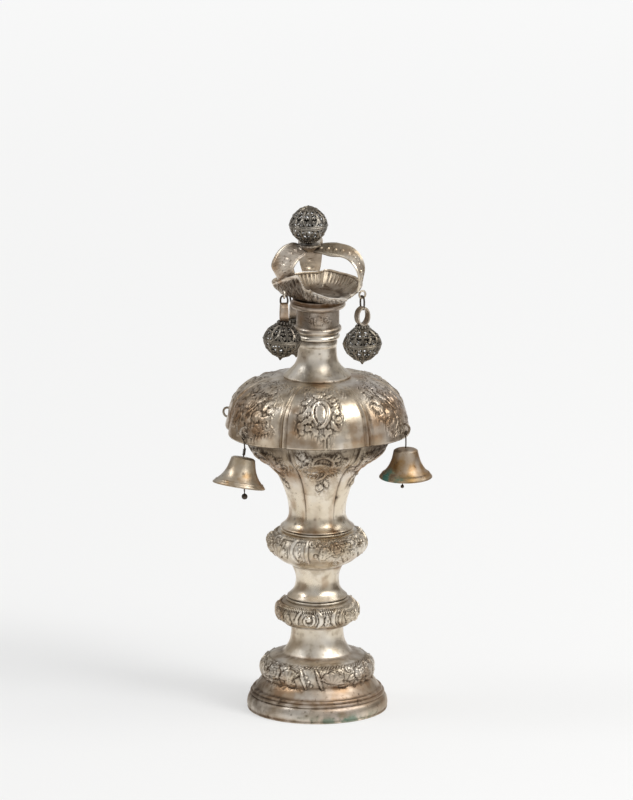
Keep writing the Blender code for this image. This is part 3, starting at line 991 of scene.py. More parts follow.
@dataclass
class Foot(Turned):
    """Stepped base, a ring of roses, swags and straps, and a flared neck."""

    roses: tuple[float, ...] = (-49.6, 49.6, 138.0, 222.0)
    quarters: tuple[float, ...] = (-2.0, 94.0, 180.0, 266.0)
    ring: float = 20.9

    def carve(self, work: Chasing) -> None:
        """Roses at the quarters; between them a pair of slanted straps with pearls, swags and leaves."""
        for rose in self.roses:
            for side in (-1, 1):
                work.group(
                    rose,
                    (Leaf(5.5, 1.7, 0.9, 1.2 * side), side * 7, 21.5, 100 * side),
                    (Leaf(4.6, 1.3, 0.8, side), side * 4, 19.5, 150 * side),
                    (Scroll(1.7, 1.3, 0.45, 0.9, side), side * 14, 25.0),
                )
            work.clear(rose, work.at(22.4), 4.5)
            work.group(rose, (Rose(3.9, 6, 2.1), 0, 22.4))
        strap = Ridge(((-1.6, 5.2), (-0.3, 1.6), (0.6, -1.6), (1.6, -5.4)), 0.85, 1.15, 0.4)
        for centre in self.quarters:
            work.scatter(70, (centre + 24, work.at(22.6)), (10.0, 2.4), 4, 0.4)
            work.scatter(71, (centre - 26, work.at(22.6)), (10.0, 2.4), 4, 0.4)
            for pearl in range(3):
                run = work.at(self.ring) + 1.2 - pearl * 2.3
                work.lay(Bead(0.8, 1.1), centre - 9.5 + pearl * 2.4, run)
            work.group(
                centre,
                (strap, -13.5, self.ring), (strap, 3.5, self.ring), (Scroll(1.9, 1.4, 0.5, 1.0), 26, 21.8),
                (Shell(6.4, 150, 5, 1.3), 17, 18.2, 12), (Leaf(6.4, 2.2, 1.0, 1.8), 25, 17.2, 68),
                (Shell(5.6, 140, 5, 1.2), -28, 19.6, -10), (Leaf(6.0, 2.0, 0.9, -1.6), -21, 16.9, -62),
                (Leaf(5.0, 1.7, 0.9, 1.2), -33, 17.2, 40),
                (Ridge(((-3.4, 1.6), (0.0, 3.2), (3.4, 1.2)), 0.7, 1.0), -27, 21.5),
            )
        work.hatch(Ridge(((-0.5, -1.6), (0.5, 1.6)), 0.3, 0.35), np.arange(0, 360, 3.4), 26.3, 20)

    def tint(self, coat: Coat) -> None:
        """Copper under the ring, soot on its top, and a touch of green on the rim."""
        for azimuth, share in ((-27, 1.0), (29, 0.9), (64, 0.7), (-66, 0.8), (150, 0.7), (230, 0.6)):
            coat.spots(Mark.COPPER, (azimuth, 16.0, 16, 3.8, share))
        coat.lines(Mark.COPPER, (9.8, 1.2, 0.35))
        for groove in (0.9, 7.6, 9.4, 11.1, 16.3, 28.6):
            coat.lines(Mark.TARNISH_AND_SHADE, (groove, 0.45, 0.36))
            coat.lines(Mark.COPPER, (groove, 0.8, 0.40))
        coat.lines(Mark.TARNISH_AND_SHADE, (26.5, 2.0, 0.28))
        coat.fade(Mark.COPPER, 17.0, -2.0, 0.20)
        coat.spots(Mark.VERDIGRIS, (22, 1.8, 30, 2.2, 0.75))
        coat.spots(Mark.COPPER, (-42, 1.0, 40, 1.2, 0.5))
        coat.spots(
            Mark.TARNISH_AND_SHADE,
            (-62, 6, 30, 9, 0.56), (-80, 14, 24, 7, 0.42), (40, 12, 16, 4, 0.25), (66, 18, 12, 7, 0.3),
            (-34, 10, 10, 3, 0.3), (8, 8.4, 30, 1.0, 0.35), (-52, 25, 14, 4, 0.2), (170, 8, 40, 9, 0.3),
            (6, 3.6, 26, 2.8, 0.34),
        )


@dataclass
class Knop(Turned):
    """A flattened knop with a repeated band of chased ornament."""

    belly: float = 85.0
    repeats: tuple[float, ...] = (0.0, 120.0, 240.0)

    def tint(self, coat: Coat) -> None:
        """Soot in the joints above and below, and a warm cast under the belly."""
        low, high = coat.heights.min(), coat.heights.max()
        coat.lines(Mark.TARNISH_AND_SHADE, (low + 1.0, 0.6, 0.40), (high - 1.3, 0.6, 0.20))
        coat.lines(Mark.COPPER, (self.belly - 5.5, 2.5, 0.30))
        coat.lines(Mark.TARNISH_AND_SHADE, (self.belly + 4.5, 2.5, 0.16))


@dataclass
class UpperKnop(Knop):
    """The large knop: strap pairs with pearls, flowers among leaves, and petals with two dots."""

    def carve(self, work: Chasing) -> None:
        """One third of the band, laid three times round."""
        stroke = Ridge(((-0.6, -1.9), (0.6, 1.9)), 0.26, 0.45)
        for centre in self.repeats:
            work.scatter(60, (centre + 32, work.at(85.0)), (26.0, 6.0), 9, 0.45)
            work.scatter(61, (centre - 52, work.at(85.0)), (12.0, 6.0), 3, 0.45)
            for azimuth, bow in ((-30, -0.7), (-15, 0.7)):
                line = ((0.9, 6.2), (bow, 2.4), (bow, -2.0), (1.2, -6.4))
                work.group(centre, (Ridge(line, 0.95, 1.25, 0.35), azimuth, 85.3))
            for pearl in range(4):
                work.group(centre, (Bead(0.72, 0.95), -22.5 + 0.5 * pearl, 89.2 - 2.3 * pearl))
            for turn in (-128, -84, 62, 112, 158):
                work.group(centre, (Leaf(7.2, 1.9, 1.25, 1.4, 3), 24 + turn * 0.055, 86.0, turn))
            work.group(
                centre,
                (Shell(8.2, 92, 4, 1.35), -55, 80.0, 6), (Bead(0.75, 1.9), -58, 86.6),
                (Bead(0.75, 1.9), -51, 86.2), (Leaf(6.6, 1.6, 1.0, 1.6), -44, 80.5, 8),
                (Leaf(5.2, 1.4, 0.9, -1.2), -69, 82.0, -10), (Bead(0.9, 1.2), -2, 83.8),
                (Leaf(8.4, 2.1, 1.2, -2.0, 5), 5, 80.8, 14),
            )
            work.clear(centre + 24, work.at(86.6), 3.9)
            work.group(
                centre,
                (Rose(4.2, 6, 2.0), 24, 86.6), (Scroll(2.2, 1.5, 0.5, 1.05), 41, 87.8),
                (Leaf(6.6, 1.7, 1.0, 1.8), 40, 81.0, 24), (Leaf(6.0, 1.6, 1.0, -1.5), 52, 82.4, 4),
                (Scroll(1.7, 1.3, 0.45, 0.9, -1), -6, 89.3),
            )
            work.hatch(stroke, centre + 55 + 1.9 * np.arange(9), 84.5, 24)
            work.hatch(stroke, centre - 12.5 + 1.5 * np.arange(9), 89.6, -28)
        work.hatch(Ridge(((-0.5, -1.4), (0.5, 1.4)), 0.36, 0.45), np.arange(0, 360, 2.9), 90.6, 30)


@dataclass
class LowerKnop(Knop):
    """The small knop: a C-scroll with a tight eye, crescent leaves, darts and rosettes."""

    belly: float = 50.4

    def carve(self, work: Chasing) -> None:
        """One third of the band, laid three times round."""
        stroke = Ridge(((-0.5, -1.7), (0.5, 1.7)), 0.28, 0.42)
        for centre in self.repeats:
            work.group(
                centre,
                (Scroll(3.4, 1.25, 0.72, 1.3), -13, 49.4, 40),
                (Ridge(((-5.4, -3.2), (-5.7, 0.6), (-3.2, 4.4)), 0.8, 1.1), -14, 49.4),
                (Leaf(8.0, 2.3, 1.3, 1.8, 3), -43, 46.0, -34), (Bead(0.9, 1.4), -33, 48.4),
                (Ridge(((-1.2, 5.0), (1.1, 1.4), (1.3, -1.6), (-0.8, -4.8)), 1.25, 1.35), 2, 50.0),
                (Leaf(7.0, 1.7, 1.1, -1.6, 3), 13, 46.2, 16),
                (Ridge(((1.4, 4.8), (-0.9, 1.6), (-1.1, -1.6), (1.2, -4.6)), 1.15, 1.3), 26, 50.0),
                (Ridge(((1.3, 4.2), (-0.6, 1.3), (-0.8, -1.5), (0.9, -4.2)), 0.8, 1.1), 36, 49.8),
                (Rose(2.3, 5, 1.5), 48, 50.4), (Leaf(4.8, 1.4, 0.9, 1.0, 3), 48, 46.4, 30),
                (Leaf(6.2, 1.8, 1.1, -1.3, 3), -58, 46.8, -16),
            )
            work.hatch(stroke, centre + 57 + 2.4 * np.arange(8), 51.2, 26)
        work.hatch(Ridge(((-0.4, -1.5), (0.4, 1.5)), 0.38, 0.5), np.arange(0, 360, 3.2), 54.0, -24)


@dataclass
class Lobed(Turned):
    """A wall that swells into six lobes, with a raised double moulding in the seam between two.

    The moulding grows from nothing at one height to its full strength a length away.
    """

    seam: float = -24.0
    swells: tuple[float, ...] = (0.15, 0.85, 1.0, 1.0, 0.85, 0.88)
    fullest: float = 5.0
    moulding: Station = (170.6, -0.9)

    def share(self, heights: Array) -> Array:
        """How much of the lobes' full swell each level has."""
        raise NotImplementedError

    def centre(self, number: int) -> float:
        """Azimuth of a lobe's middle."""
        return self.seam + 30.0 + 60.0 * number

    def across(self, azimuths: Array) -> Array:
        """Each azimuth's number of lobes past the first seam; its fraction is its place in the lobe."""
        return (azimuths - self.seam) / 60.0 + 1e-9

    def from_seam(self, azimuths: Array) -> Array:
        """How far each azimuth is from the nearest seam, as a share of a lobe."""
        place = np.mod(self.across(azimuths), 1.0)
        return np.minimum(place, 1 - place)

    def reach(self, azimuths: Array, radii: Array) -> Array:
        """How far each point is from the nearest seam, in millimetres."""
        return np.radians(self.from_seam(azimuths) * 60.0)[None, :] * radii[:, None]

    def swell(self, azimuths: Array, radii: Array, heights: Array) -> Array:
        """The lobe's sine arch, plus two fine ridges at the seam with a groove outside each."""
        turns = self.across(azimuths)
        fullness = np.array(self.swells)[np.floor(turns).astype(int) % 6]
        arch = fullness * np.sin(math.pi * np.mod(turns, 1.0)) ** 0.7
        reach = self.reach(azimuths, radii)
        share = self.share(heights)[:, None]
        ridge = 0.75 * bell(reach, 0.55, 0.42) - 0.25 * bell(reach, 0.0, 0.25)
        groove = 0.65 * bell(reach, 1.6, 0.55)
        shown = np.clip(share * 4.0, 0.7, 1.0) * ramp(heights, *self.moulding)[:, None]
        return self.fullest * share * arch + (ridge - groove) * shown


@dataclass
class Dome(Lobed):
    """The overhanging dome: a cartouche or a spray of roses on each lobe."""

    def share(self, heights: Array) -> Array:
        """Nothing at the neck, everything at the overhanging edge, as a power of a quarter sine."""
        return np.sin(math.pi / 2 * ramp(heights, 170.9, -26.0)) ** 1.8

    def swell(self, azimuths: Array, radii: Array, heights: Array) -> Array:
        """The lobes, with bulges where the skirt has been knocked about."""
        return super().swell(azimuths, radii, heights) + spots(
            azimuths, heights,
            (-35, 148.5, 6, 3.6, 1.3), (-9, 148, 9, 3.4, -0.5), (22, 147.5, 8, 3.6, 0.7),
            (40, 149, 7, 4, 0.7), (58, 147, 6, 4, -0.6), (-60, 148, 8, 4, -0.5), (95, 150, 9, 5, 0.6),
            (160, 148, 8, 4, -0.6),
            (215, 149, 7, 4, 0.7), (262, 148, 8, 4, -0.6), (24, 158, 7, 5, -0.35), (-14, 160, 6, 5, -0.4),
        )

    def cartouche(self, work: Chasing, centre: float, base: float) -> None:
        """An oval medallion in a crescent, with a flower above it and scrollwork round it.

        Args:
            work: The wall's chasing.
            centre: Azimuth of the lobe's middle.
            base: Run of the dome's outer edge.
        """
        crescent = ((-1.9, 6.0), (0.8, 6.5), (3.0, 4.2), (3.8, 0.4), (3.1, -3.4), (0.9, -6.4), (-0.9, -7.0))
        beads = (
            (-2.6, 11.0, 1.0), (-0.4, 13.2, 0.8), (-5.2, -2.6, 1.3), (-5.8, -4.4, 0.9), (2.0, 12.2, 0.7),
        )
        leaves = (
            (2.4, 9.6, 4.6, 78, -1.4), (4.4, 8.0, 4.2, 118, 1.0), (-3.4, 9.2, 4.4, -96, 1.2),
            (-5.4, 8.6, 4.2, -160, 1.2), (-6.2, 4.6, 4.4, 172, -1.2), (-7.4, 1.0, 4.4, 190, 1.2),
            (-4.8, 2.0, 3.4, -92, -0.8), (-6.6, -3.0, 4.6, 214, 1.2), (-4.2, -7.4, 4.8, 160, -1.4),
            (-2.0, -8.2, 4.2, 196, 1.0), (1.6, -8.0, 4.6, 150, 1.2), (4.6, -6.4, 5.4, 108, 1.2),
            (5.4, -4.0, 3.6, 170, -0.8), (5.2, 1.6, 3.6, 70, 0.8), (-8.8, -6.4, 3.4, 200, 1.0),
            (0.4, -11.0, 3.0, 180, 0.4),
        )
        scrolls = (
            (7.2, 4.2, 1.7, 0, 1), (8.0, 0.2, 1.6, 40, -1), (8.2, -4.0, 1.7, 0, 1), (6.0, 7.2, 1.4, 90, -1),
            (-9.9, -2.6, 1.5, 0, -1), (-10.4, -6.6, 1.4, 180, 1), (-9.6, -9.8, 1.3, 0, -1),
            (-8.0, 5.8, 1.4, 90, 1), (-6.6, -7.8, 1.6, 120, -1), (4.2, -9.4, 1.4, 200, 1),
        )
        work.cluster(
            centre - 3.3,
            base + 19.0,
            (Bead(2.7, 1.0, 1.9), 0, 0, -4),
            (Ridge(crescent, 1.15, 2.3, 0.55), 0, 0),
            (Ridge(((-1.9, 6.0), (-3.7, 3.3), (-4.0, -1.8), (-2.0, -5.8)), 0.7, 1.5, 0.4), 0, 0),
            (Bead(1.1, 2.3), -1.7, 5.3),
            (Leaf(6.4, 1.5, 1.5, 1.2, 4), 0.6, -4.2, -6),
            (Rose(2.7, 5, 2.0), -1.0, 11.4),
            *((Bead(size, 1.9), x, y) for x, y, size in beads),
            *((Leaf(length, 1.25, 1.35, curl, 3), x, y, turn) for x, y, length, turn, curl in leaves),
            *((Scroll(radius, 1.4, 0.46, 1.6, hand), x, y, turn) for x, y, radius, turn, hand in scrolls),
        )

    def spray(self, work: Chasing, centre: float, base: float, hand: int) -> None:
        """Two roses on a curling stem, with leaves and scrolls to fill the lobe.

        Args:
            work: The wall's chasing.
            centre: Azimuth of the lobe's middle.
            base: Run of the dome's outer edge.
            hand: 1 or -1, which way it leans.
        """
        large, small = (3.2 * hand, 20.5), (-7.0 * hand, 15.0)
        for (x, y), radius in ((large, 5.0), (small, 3.6)):
            work.clear(work.beside(centre, x, base + y), base + y, radius)
        stem = ((-9.0, 4.5), (-2.0, 6.5), (2.6, 12.0), (-2.0, 18.0), (-3.0, 26.0))
        leaves = (
            (8.2, 19.5, 100), (7.0, 26.4, 55), (-1.0, 27.6, -20), (-9.4, 21.0, -70), (-11.6, 14.0, -95),
            (-8.4, 9.8, -140), (4.4, 14.6, 130), (0.0, 11.0, 160), (-2.4, 21.5, -50), (10.2, 13.4, 110),
        )
        scrolls = ((11.0, 23.0, 1.9), (9.6, 9.4, 2.2), (-12.6, 18.6, 1.8), (1.8, 6.6, 1.8), (-5.0, 29.6, 1.5))
        work.cluster(
            centre,
            base,
            (Ridge(((-3.6, 2.4), (-1.2, 4.6), (2.4, 4.0), (4.3, 0.8), (3.4, -2.8)), 0.75, 1.7), *large),
            (Rose(3.9, 6, 2.1, 2.0), *large),
            (Scroll(2.1, 1.6, 0.5, 2.3, hand), *large),
            (Rose(3.0, 6, 1.8, 1.6), *small),
            (Ridge(tuple((x * hand, y) for x, y in stem), 0.7, 1.2), 0, 0),
            *((Leaf(5.8, 1.7, 1.2, 1.4 * hand, 3), x * hand * 0.8, y, turn * hand) for x, y, turn in leaves),
            *((Scroll(radius, 1.4, 0.5, 1.2, -hand), x * hand, y) for x, y, radius in scrolls),
        )

    def carve(self, work: Chasing) -> None:
        """Cartouches and sprays in turn, then the crease where the front lobe's eyelet was."""
        base = float(work.run[work.level.argmin()])
        for number in range(6):
            centre = self.centre(number)
            if number:
                work.scatter(number, (centre, base + 19.0), (22.0, 13.0), 60)
            work.scatter(20 + number, (centre, base + 34.0), (24.0, 3.0), 18, 0.5)
            if number % 2 == 0:
                self.cartouche(work, centre, base)
            else:
                self.spray(work, centre, base, 1 if number in (1, 3) else -1)
        work.lay(Ridge(((0.0, 0.5), (-0.4, 4.0), (0.1, 8.4)), 0.55, 0.75, 0.3), 5.6, base)
        work.lay(Ridge(((1.7, 0.5), (1.4, 4.0), (1.6, 6.4)), 0.6, 0.7, 0.3), 5.6, base)

    def tint(self, coat: Coat) -> None:
        """Copper over the side lobes, tarnish by the seams, and painted shade under the edge."""
        beside = bell(self.from_seam(coat.azimuths), 0.035, 0.03)
        coat.touch(Mark.TARNISH_AND_SHADE, 0.38 * beside[None, :] * ramp(coat.heights, 169, -4)[:, None])
        coat.spots(
            Mark.COPPER,
            (-62, 157, 22, 7, 1.0), (-40, 150, 9, 5, 0.8), (47, 154, 12, 6, 0.9), (-8, 146, 16, 3, 0.6),
            (70, 159, 14, 5, 0.8), (-16, 153, 6, 6, 0.7), (130, 155, 20, 7, 0.8), (230, 156, 24, 7, 0.8),
            (36, 148, 10, 3, 0.7), (90, 148, 14, 4, 0.6), (-84, 150, 14, 5, 0.8), (170, 149, 16, 4, 0.7),
        )
        # The thin line at azimuth 28 and height 151.5 is painted shade along the bend above the skirt's
        # bulge.
        coat.spots(
            Mark.TARNISH_AND_SHADE,
            (-15, 161, 7, 9, 0.34), (-20, 168, 30, 2, 0.20), (10, 154, 9, 2, 0.22), (-48, 165, 16, 3, 0.25),
            (48, 166, 14, 3, 0.25), (28, 151.5, 12, 1.4, 0.35), (120, 164, 30, 5, 0.25),
            (220, 164, 30, 5, 0.25),
        )
        # Painted shade: everything below the overhanging edge is darkened.
        coat.band(0.0, 143.4, 0.8, 0.0)
        coat.touch(Mark.COPPER, 0.16)


@dataclass
class Calyx(Lobed):
    """The cup under the dome: a shell and a curling stem on each lobe."""

    swells: tuple[float, ...] = (0.15, 0.60, 1.0, 1.0, 0.85, 0.88)
    fullest: float = 4.4
    moulding: Station = (116.0, 14.0)

    def share(self, heights: Array) -> Array:
        """Dies away down the cup to a bare seam on its stem."""
        return ramp(heights, 102.0, 42.9) ** 1.4

    def swell(self, azimuths: Array, radii: Array, heights: Array) -> Array:
        """The lobes, with a thin crease where they meet on the stem."""
        deep = 0.5 * ramp(heights, 98.0, 8.0) * ramp(heights, 134.0, -14.0)
        crease = deep[:, None] * bell(self.reach(azimuths, radii), 0.0, 0.4)
        return super().swell(azimuths, radii, heights) - crease

    def carve(self, work: Chasing) -> None:
        """A shell over leaves, with an S-shaped tendril that ends in a curl below."""
        frame = ((-4.8, -1.6), (-4.6, 2.4), (-1.8, 4.8), (1.8, 4.9), (4.6, 2.6), (5.2, -1.2), (3.4, -4.8))
        tendril = ((0.4, 0.5), (2.4, -3.4), (1.4, -7.0), (-1.8, -9.6))
        for number in range(6):
            centre = self.centre(number) - 1.0
            hand = 1 if number % 2 == 0 else -1
            work.scatter(40 + number, (centre, work.at(131.0)), (22.0, 8.0), 50, 1.0)
            work.clear(centre, work.at(133.0), 4.6)
            for side in (-1, 1):
                work.group(
                    centre,
                    (Leaf(9.5 if side < 0 else 9.0, 2.2, 1.3, -2.4 * side, 4), 6 * side, 128.0, 62 * side),
                    (Leaf(6.6, 1.7, 1.1, -1.4 * side, 3), 3 * side, 126.5, 105 * side),
                    (Scroll(1.8, 1.3, 0.45, 1.0, -side), 13 * side, 135.4),
                )
            work.group(
                centre,
                (Ridge(frame, 0.9, 1.7, 0.4), 0, 133.0),
                (Shell(5.6, 130, 5, 1.3), -2 * hand, 129.6, 10 * hand),
                (Scroll(2.2, 1.4, 0.5, 1.6, hand), 4 * hand, 130.4),
                (Ridge(tuple((x * hand, y) for x, y in tendril), 0.75, 1.3, 0.4), 0, 129.0),
                (Scroll(1.9, 1.5, 0.5, 1.25, hand), -2.5 * hand, 117.6),
                (Leaf(5.6, 1.3, 0.9, 1.2 * hand, 3), 5 * hand, 121.5, 150 * hand),
            )

    def tint(self, coat: Coat) -> None:
        """Painted shade under the overhang, copper over the side lobes' leaves, and streaks down the stem."""
        # Painted shade: the cup darkens upwards into the dome's overhang.
        coat.fade(Mark.TARNISH_AND_SHADE, 130.5, 9.0, 0.75)
        crease = bell(self.from_seam(coat.azimuths), 0.0, 0.022)
        coat.touch(Mark.TARNISH_AND_SHADE, 0.70 * crease[None, :] * ramp(coat.heights, 97, 10)[:, None])
        for number in range(6):
            coat.spots(Mark.COPPER, (self.centre(number), 128, 20, 8, 1.1 if number else 0.60))
        for azimuth, height in ((-22, 112), (34, 112), (-30, 98), (28, 97), (-4, 95), (100, 108), (215, 110)):
            coat.spots(Mark.COPPER, (azimuth, height, 5, 7, 0.7))
        coat.lines(Mark.COPPER, (93.8, 1.2, 0.35))
        coat.fade(Mark.COPPER, 112.0, 14.0, 0.12)
        for azimuth, height in ((-52, 99), (-46, 97), (38, 111), (-5, 100), (100, 98), (60, 97)):
            coat.spots(Mark.TARNISH_AND_SHADE, (azimuth, height, 3.0, 0.8, 0.9))


@dataclass
class Stem(Turned):
    """A plain bright stem, dull only in its joints."""

    def tint(self, coat: Coat) -> None:
        """Soot and a little copper in the lowest and highest millimetre."""
        for joint, share in ((coat.heights.min() + 0.3, 0.2), (coat.heights.max() - 0.3, 0.5)):
            coat.lines(Mark.TARNISH_AND_SHADE, (joint, 0.7, share))
            coat.lines(Mark.COPPER, (joint, 0.7, 0.7 * share))


@dataclass
class Collar(Turned):
    """Two beads, a band punched with fine rows, a small oval, and a flange with a coppery groove."""

    band: Station = (197.4, 204.8)
    rows: int = 9

    def carve(self, work: Chasing) -> None:
        """A fine net of granules over the band, with a framed oval at the front and back."""
        low, high = (work.at(edge) for edge in self.band)
        inside = (work.run > low) & (work.run < high)
        place = (work.run - low) / (high - low) * self.rows
        phase = np.radians(work.azimuth)[None, :] * 36 + np.floor(place)[:, None] * math.pi / 2
        grains = 0.30 * np.abs(np.sin(place * math.pi))[:, None] * np.abs(np.sin(phase))
        work.height = np.where(inside[:, None], grains, 0.0)
        middle = (low + high) / 2 - 0.4
        for azimuth in (2.0, 182.0):
            work.lay(Bead(1.4, 1.0, 1.35), azimuth, middle)
            work.lay(Shell(2.5, 300, 9, 0.45), azimuth, middle)
            for side in (-1, 1):
                work.lay(Scroll(1.3, 1.3, 0.35, 0.75, side), azimuth + 21 * side, middle + 0.6)
                work.lay(Leaf(3.4, 0.9, 0.7, 0.8), azimuth + 24 * side, middle, 85 * side)

    def tint(self, coat: Coat) -> None:
        """Copper in the top groove and grime in the joints."""
        coat.lines(Mark.COPPER, (209.2, 0.75, 1.4))
        coat.spots(Mark.COPPER, (-30, 200, 40, 4, 0.30))
        coat.lines(Mark.TARNISH_AND_SHADE, *((joint, 0.4, 0.75) for joint in (192.7, 196.7, 205.4)))
        coat.band(193.0, 196.6, 0.14, 0.25)
        coat.band(205.4, 212.0, 0.26, 0.30)
        coat.band(196.6, 205.4, 0.40, 0.30)


FOOT = Foot(
    "foot",
    (
        ((33.9, 0.0), (34.8, 0.02), (35.0, 0.4), (34.7, 0.9)),
        ((35.1, 2.0), (35.1, 3.6), (34.7, 5.4), (33.8, 7.0), (33.1, 7.6)),
        ((33.6, 8.2), (33.4, 8.9), (32.4, 9.4)),
        ((32.6, 10.0), (32.1, 10.7), (31.1, 11.0)),
        ((30.0, 12.6), (28.6, 14.6), (26.9, 16.2)),
        ((27.7, 18.2), (28.2, 20.9), (27.6, 23.5), (26.2, 25.4), (23.9, 26.9), (21.0, 27.9),
         (18.4, 28.4)),
        ((17.4, 28.9), (15.5, 31.3), (13.9, 34.4), (13.2, 37.4), (13.0, 40.4), (13.1, 43.0)),
    ),
    ((12.3, 43.0), (12.2, 37.4), (16.6, 28.0), (25.0, 24.6), (26.2, 17.8), (31.6, 7.8), (33.6, 1.2)),
    columns=380,
    spacing=0.41,
    depth=0.75,
    cut=0.26,
    ease=0.2,
    grime=0.13,
    chased=0.3,
)
LOWER_KNOP = LowerKnop(
    "lower_knop",
    (
        ((14.0, 43.2), (15.5, 43.3), (16.3, 43.8), (16.1, 44.4)),
        ((17.6, 44.9), (19.0, 46.0), (20.2, 48.2), (20.5, 50.3), (20.1, 52.4), (18.7, 54.3),
         (16.6, 55.4), (15.1, 55.7)),
        ((15.6, 56.2), (15.4, 56.8), (14.6, 57.0)),
    ),
    ((13.6, 57.0), (17.6, 52.4), (17.7, 48.6), (12.3, 43.3)),
    columns=340,
    spacing=0.36,
    depth=0.8,
    cut=0.32,
    ease=0.1,
    grime=0.04,
    chased=0.3,
)
WAIST = Stem(
    "waist",
    (
        ((14.0, 57.3), (15.0, 57.6), (14.9, 58.1), (14.4, 58.5)),
        ((12.6, 60.3), (11.4, 62.3), (10.9, 64.4), (10.7, 66.3), (10.9, 68.4), (11.5, 70.6),
         (12.3, 72.6), (12.8, 74.2)),
    ),
    ((11.8, 74.2), (9.9, 67.0), (10.0, 63.6), (13.2, 57.3)),
    columns=120,
    spacing=0.6,
)
UPPER_KNOP = UpperKnop(
    "upper_knop",
    (
        ((12.8, 74.4), (14.1, 74.5), (14.7, 75.0), (14.5, 75.5)),
        ((17.2, 76.1), (20.2, 78.2), (22.6, 80.6), (24.0, 83.0), (24.4, 85.2), (23.9, 87.4),
         (22.5, 89.4), (20.4, 91.0), (17.7, 91.6)),
        ((18.3, 92.0), (18.2, 92.6), (17.2, 92.8)),
    ),
    ((15.0, 92.9), (21.5, 87.2), (21.5, 82.8), (11.6, 74.5)),
    columns=400,
    spacing=0.38,
    depth=0.78,
    cut=0.32,
    ease=0.1,
    grime=-0.16,
    chased=0.3,
)
CALYX = Calyx(
    "calyx",
    (
        ((17.4, 93.0), (18.5, 93.4), (17.0, 94.8), (15.3, 96.8), (14.3, 99.5), (14.3, 103.0), (14.8, 107.0),
         (15.8, 111.0), (17.1, 115.0), (18.6, 118.8), (20.5, 122.4), (22.9, 125.7), (25.6, 128.4),
         (28.7, 130.7), (31.3, 133.2), (33.4, 136.4), (35.2, 140.6), (36.5, 144.9)),
    ),
    ((35.3, 144.6), (34.2, 140.6), (32.2, 136.6), (29.8, 133.6), (26.8, 131.2), (24.0, 128.9), (21.2, 126.0),
     (19.0, 122.6), (17.2, 118.8), (15.7, 114.6), (14.4, 109.0), (13.3, 103.0), (13.2, 98.0), (14.6, 94.6),
     (16.0, 93.3)),
    columns=400,
    spacing=0.56,
    depth=0.65,
    ease=0.4,
)
DOME = Dome(
    "dome",
    (
        ((37.8, 145.5), (40.0, 144.0), (42.3, 143.0)),
        ((43.0, 143.0), (43.4, 143.6)),
        ((42.9, 146.8), (42.3, 150.0), (41.9, 153.3), (41.2, 156.4), (40.0, 159.2), (38.2, 161.6),
         (36.0, 163.9), (33.5, 165.7), (30.0, 167.6), (26.0, 169.0), (21.5, 169.9), (17.4, 170.5),
         (11.2, 170.9)),
    ),
    ((11.2, 170.0), (26.8, 167.6), (37.4, 159.8), (40.2, 152.4), (40.6, 148.2), (39.8, 146.6), (38.4, 146.2)),
    columns=600,
    spacing=0.45,
    depth=0.5,
    grime=0.07,
)
NECK = Stem(
    "neck",
    (
        ((15.8, 170.7), (16.8, 170.6), (17.0, 171.1), (16.2, 172.0)),
        ((13.8, 173.9), (11.8, 176.0), (10.5, 178.3), (9.9, 180.6), (9.7, 183.5), (9.6, 186.2)),
        ((9.95, 187.0), (9.95, 188.7), (9.6, 189.6)),
    ),
    ((8.7, 189.6), (8.9, 180.0), (12.6, 171.4)),
    columns=120,
    spacing=0.5,
    grime=0.14,
)
COLLAR = Collar(
    "collar",
    (
        ((9.9, 189.9), (10.8, 190.4), (11.0, 191.3), (10.4, 192.3)),
        ((10.4, 193.1),),
        ((11.4, 193.7), (11.8, 194.9), (11.5, 196.0), (10.7, 196.6)),
        ((10.65, 201.0), (10.7, 205.4)),
        ((13.0, 205.9), (13.8, 207.0), (13.6, 208.1), (12.6, 208.6)),
        ((12.2, 209.1), (12.7, 209.6), (12.5, 210.2)),
    ),
    ((9.5, 210.2), (9.0, 200.0), (8.9, 189.9)),
    columns=280,
    spacing=0.25,
    chased=0.4,
    offset=0.3,
)
BODY = (FOOT, LOWER_KNOP, WAIST, UPPER_KNOP, CALYX, DOME, NECK, COLLAR)


# --- Crown ---


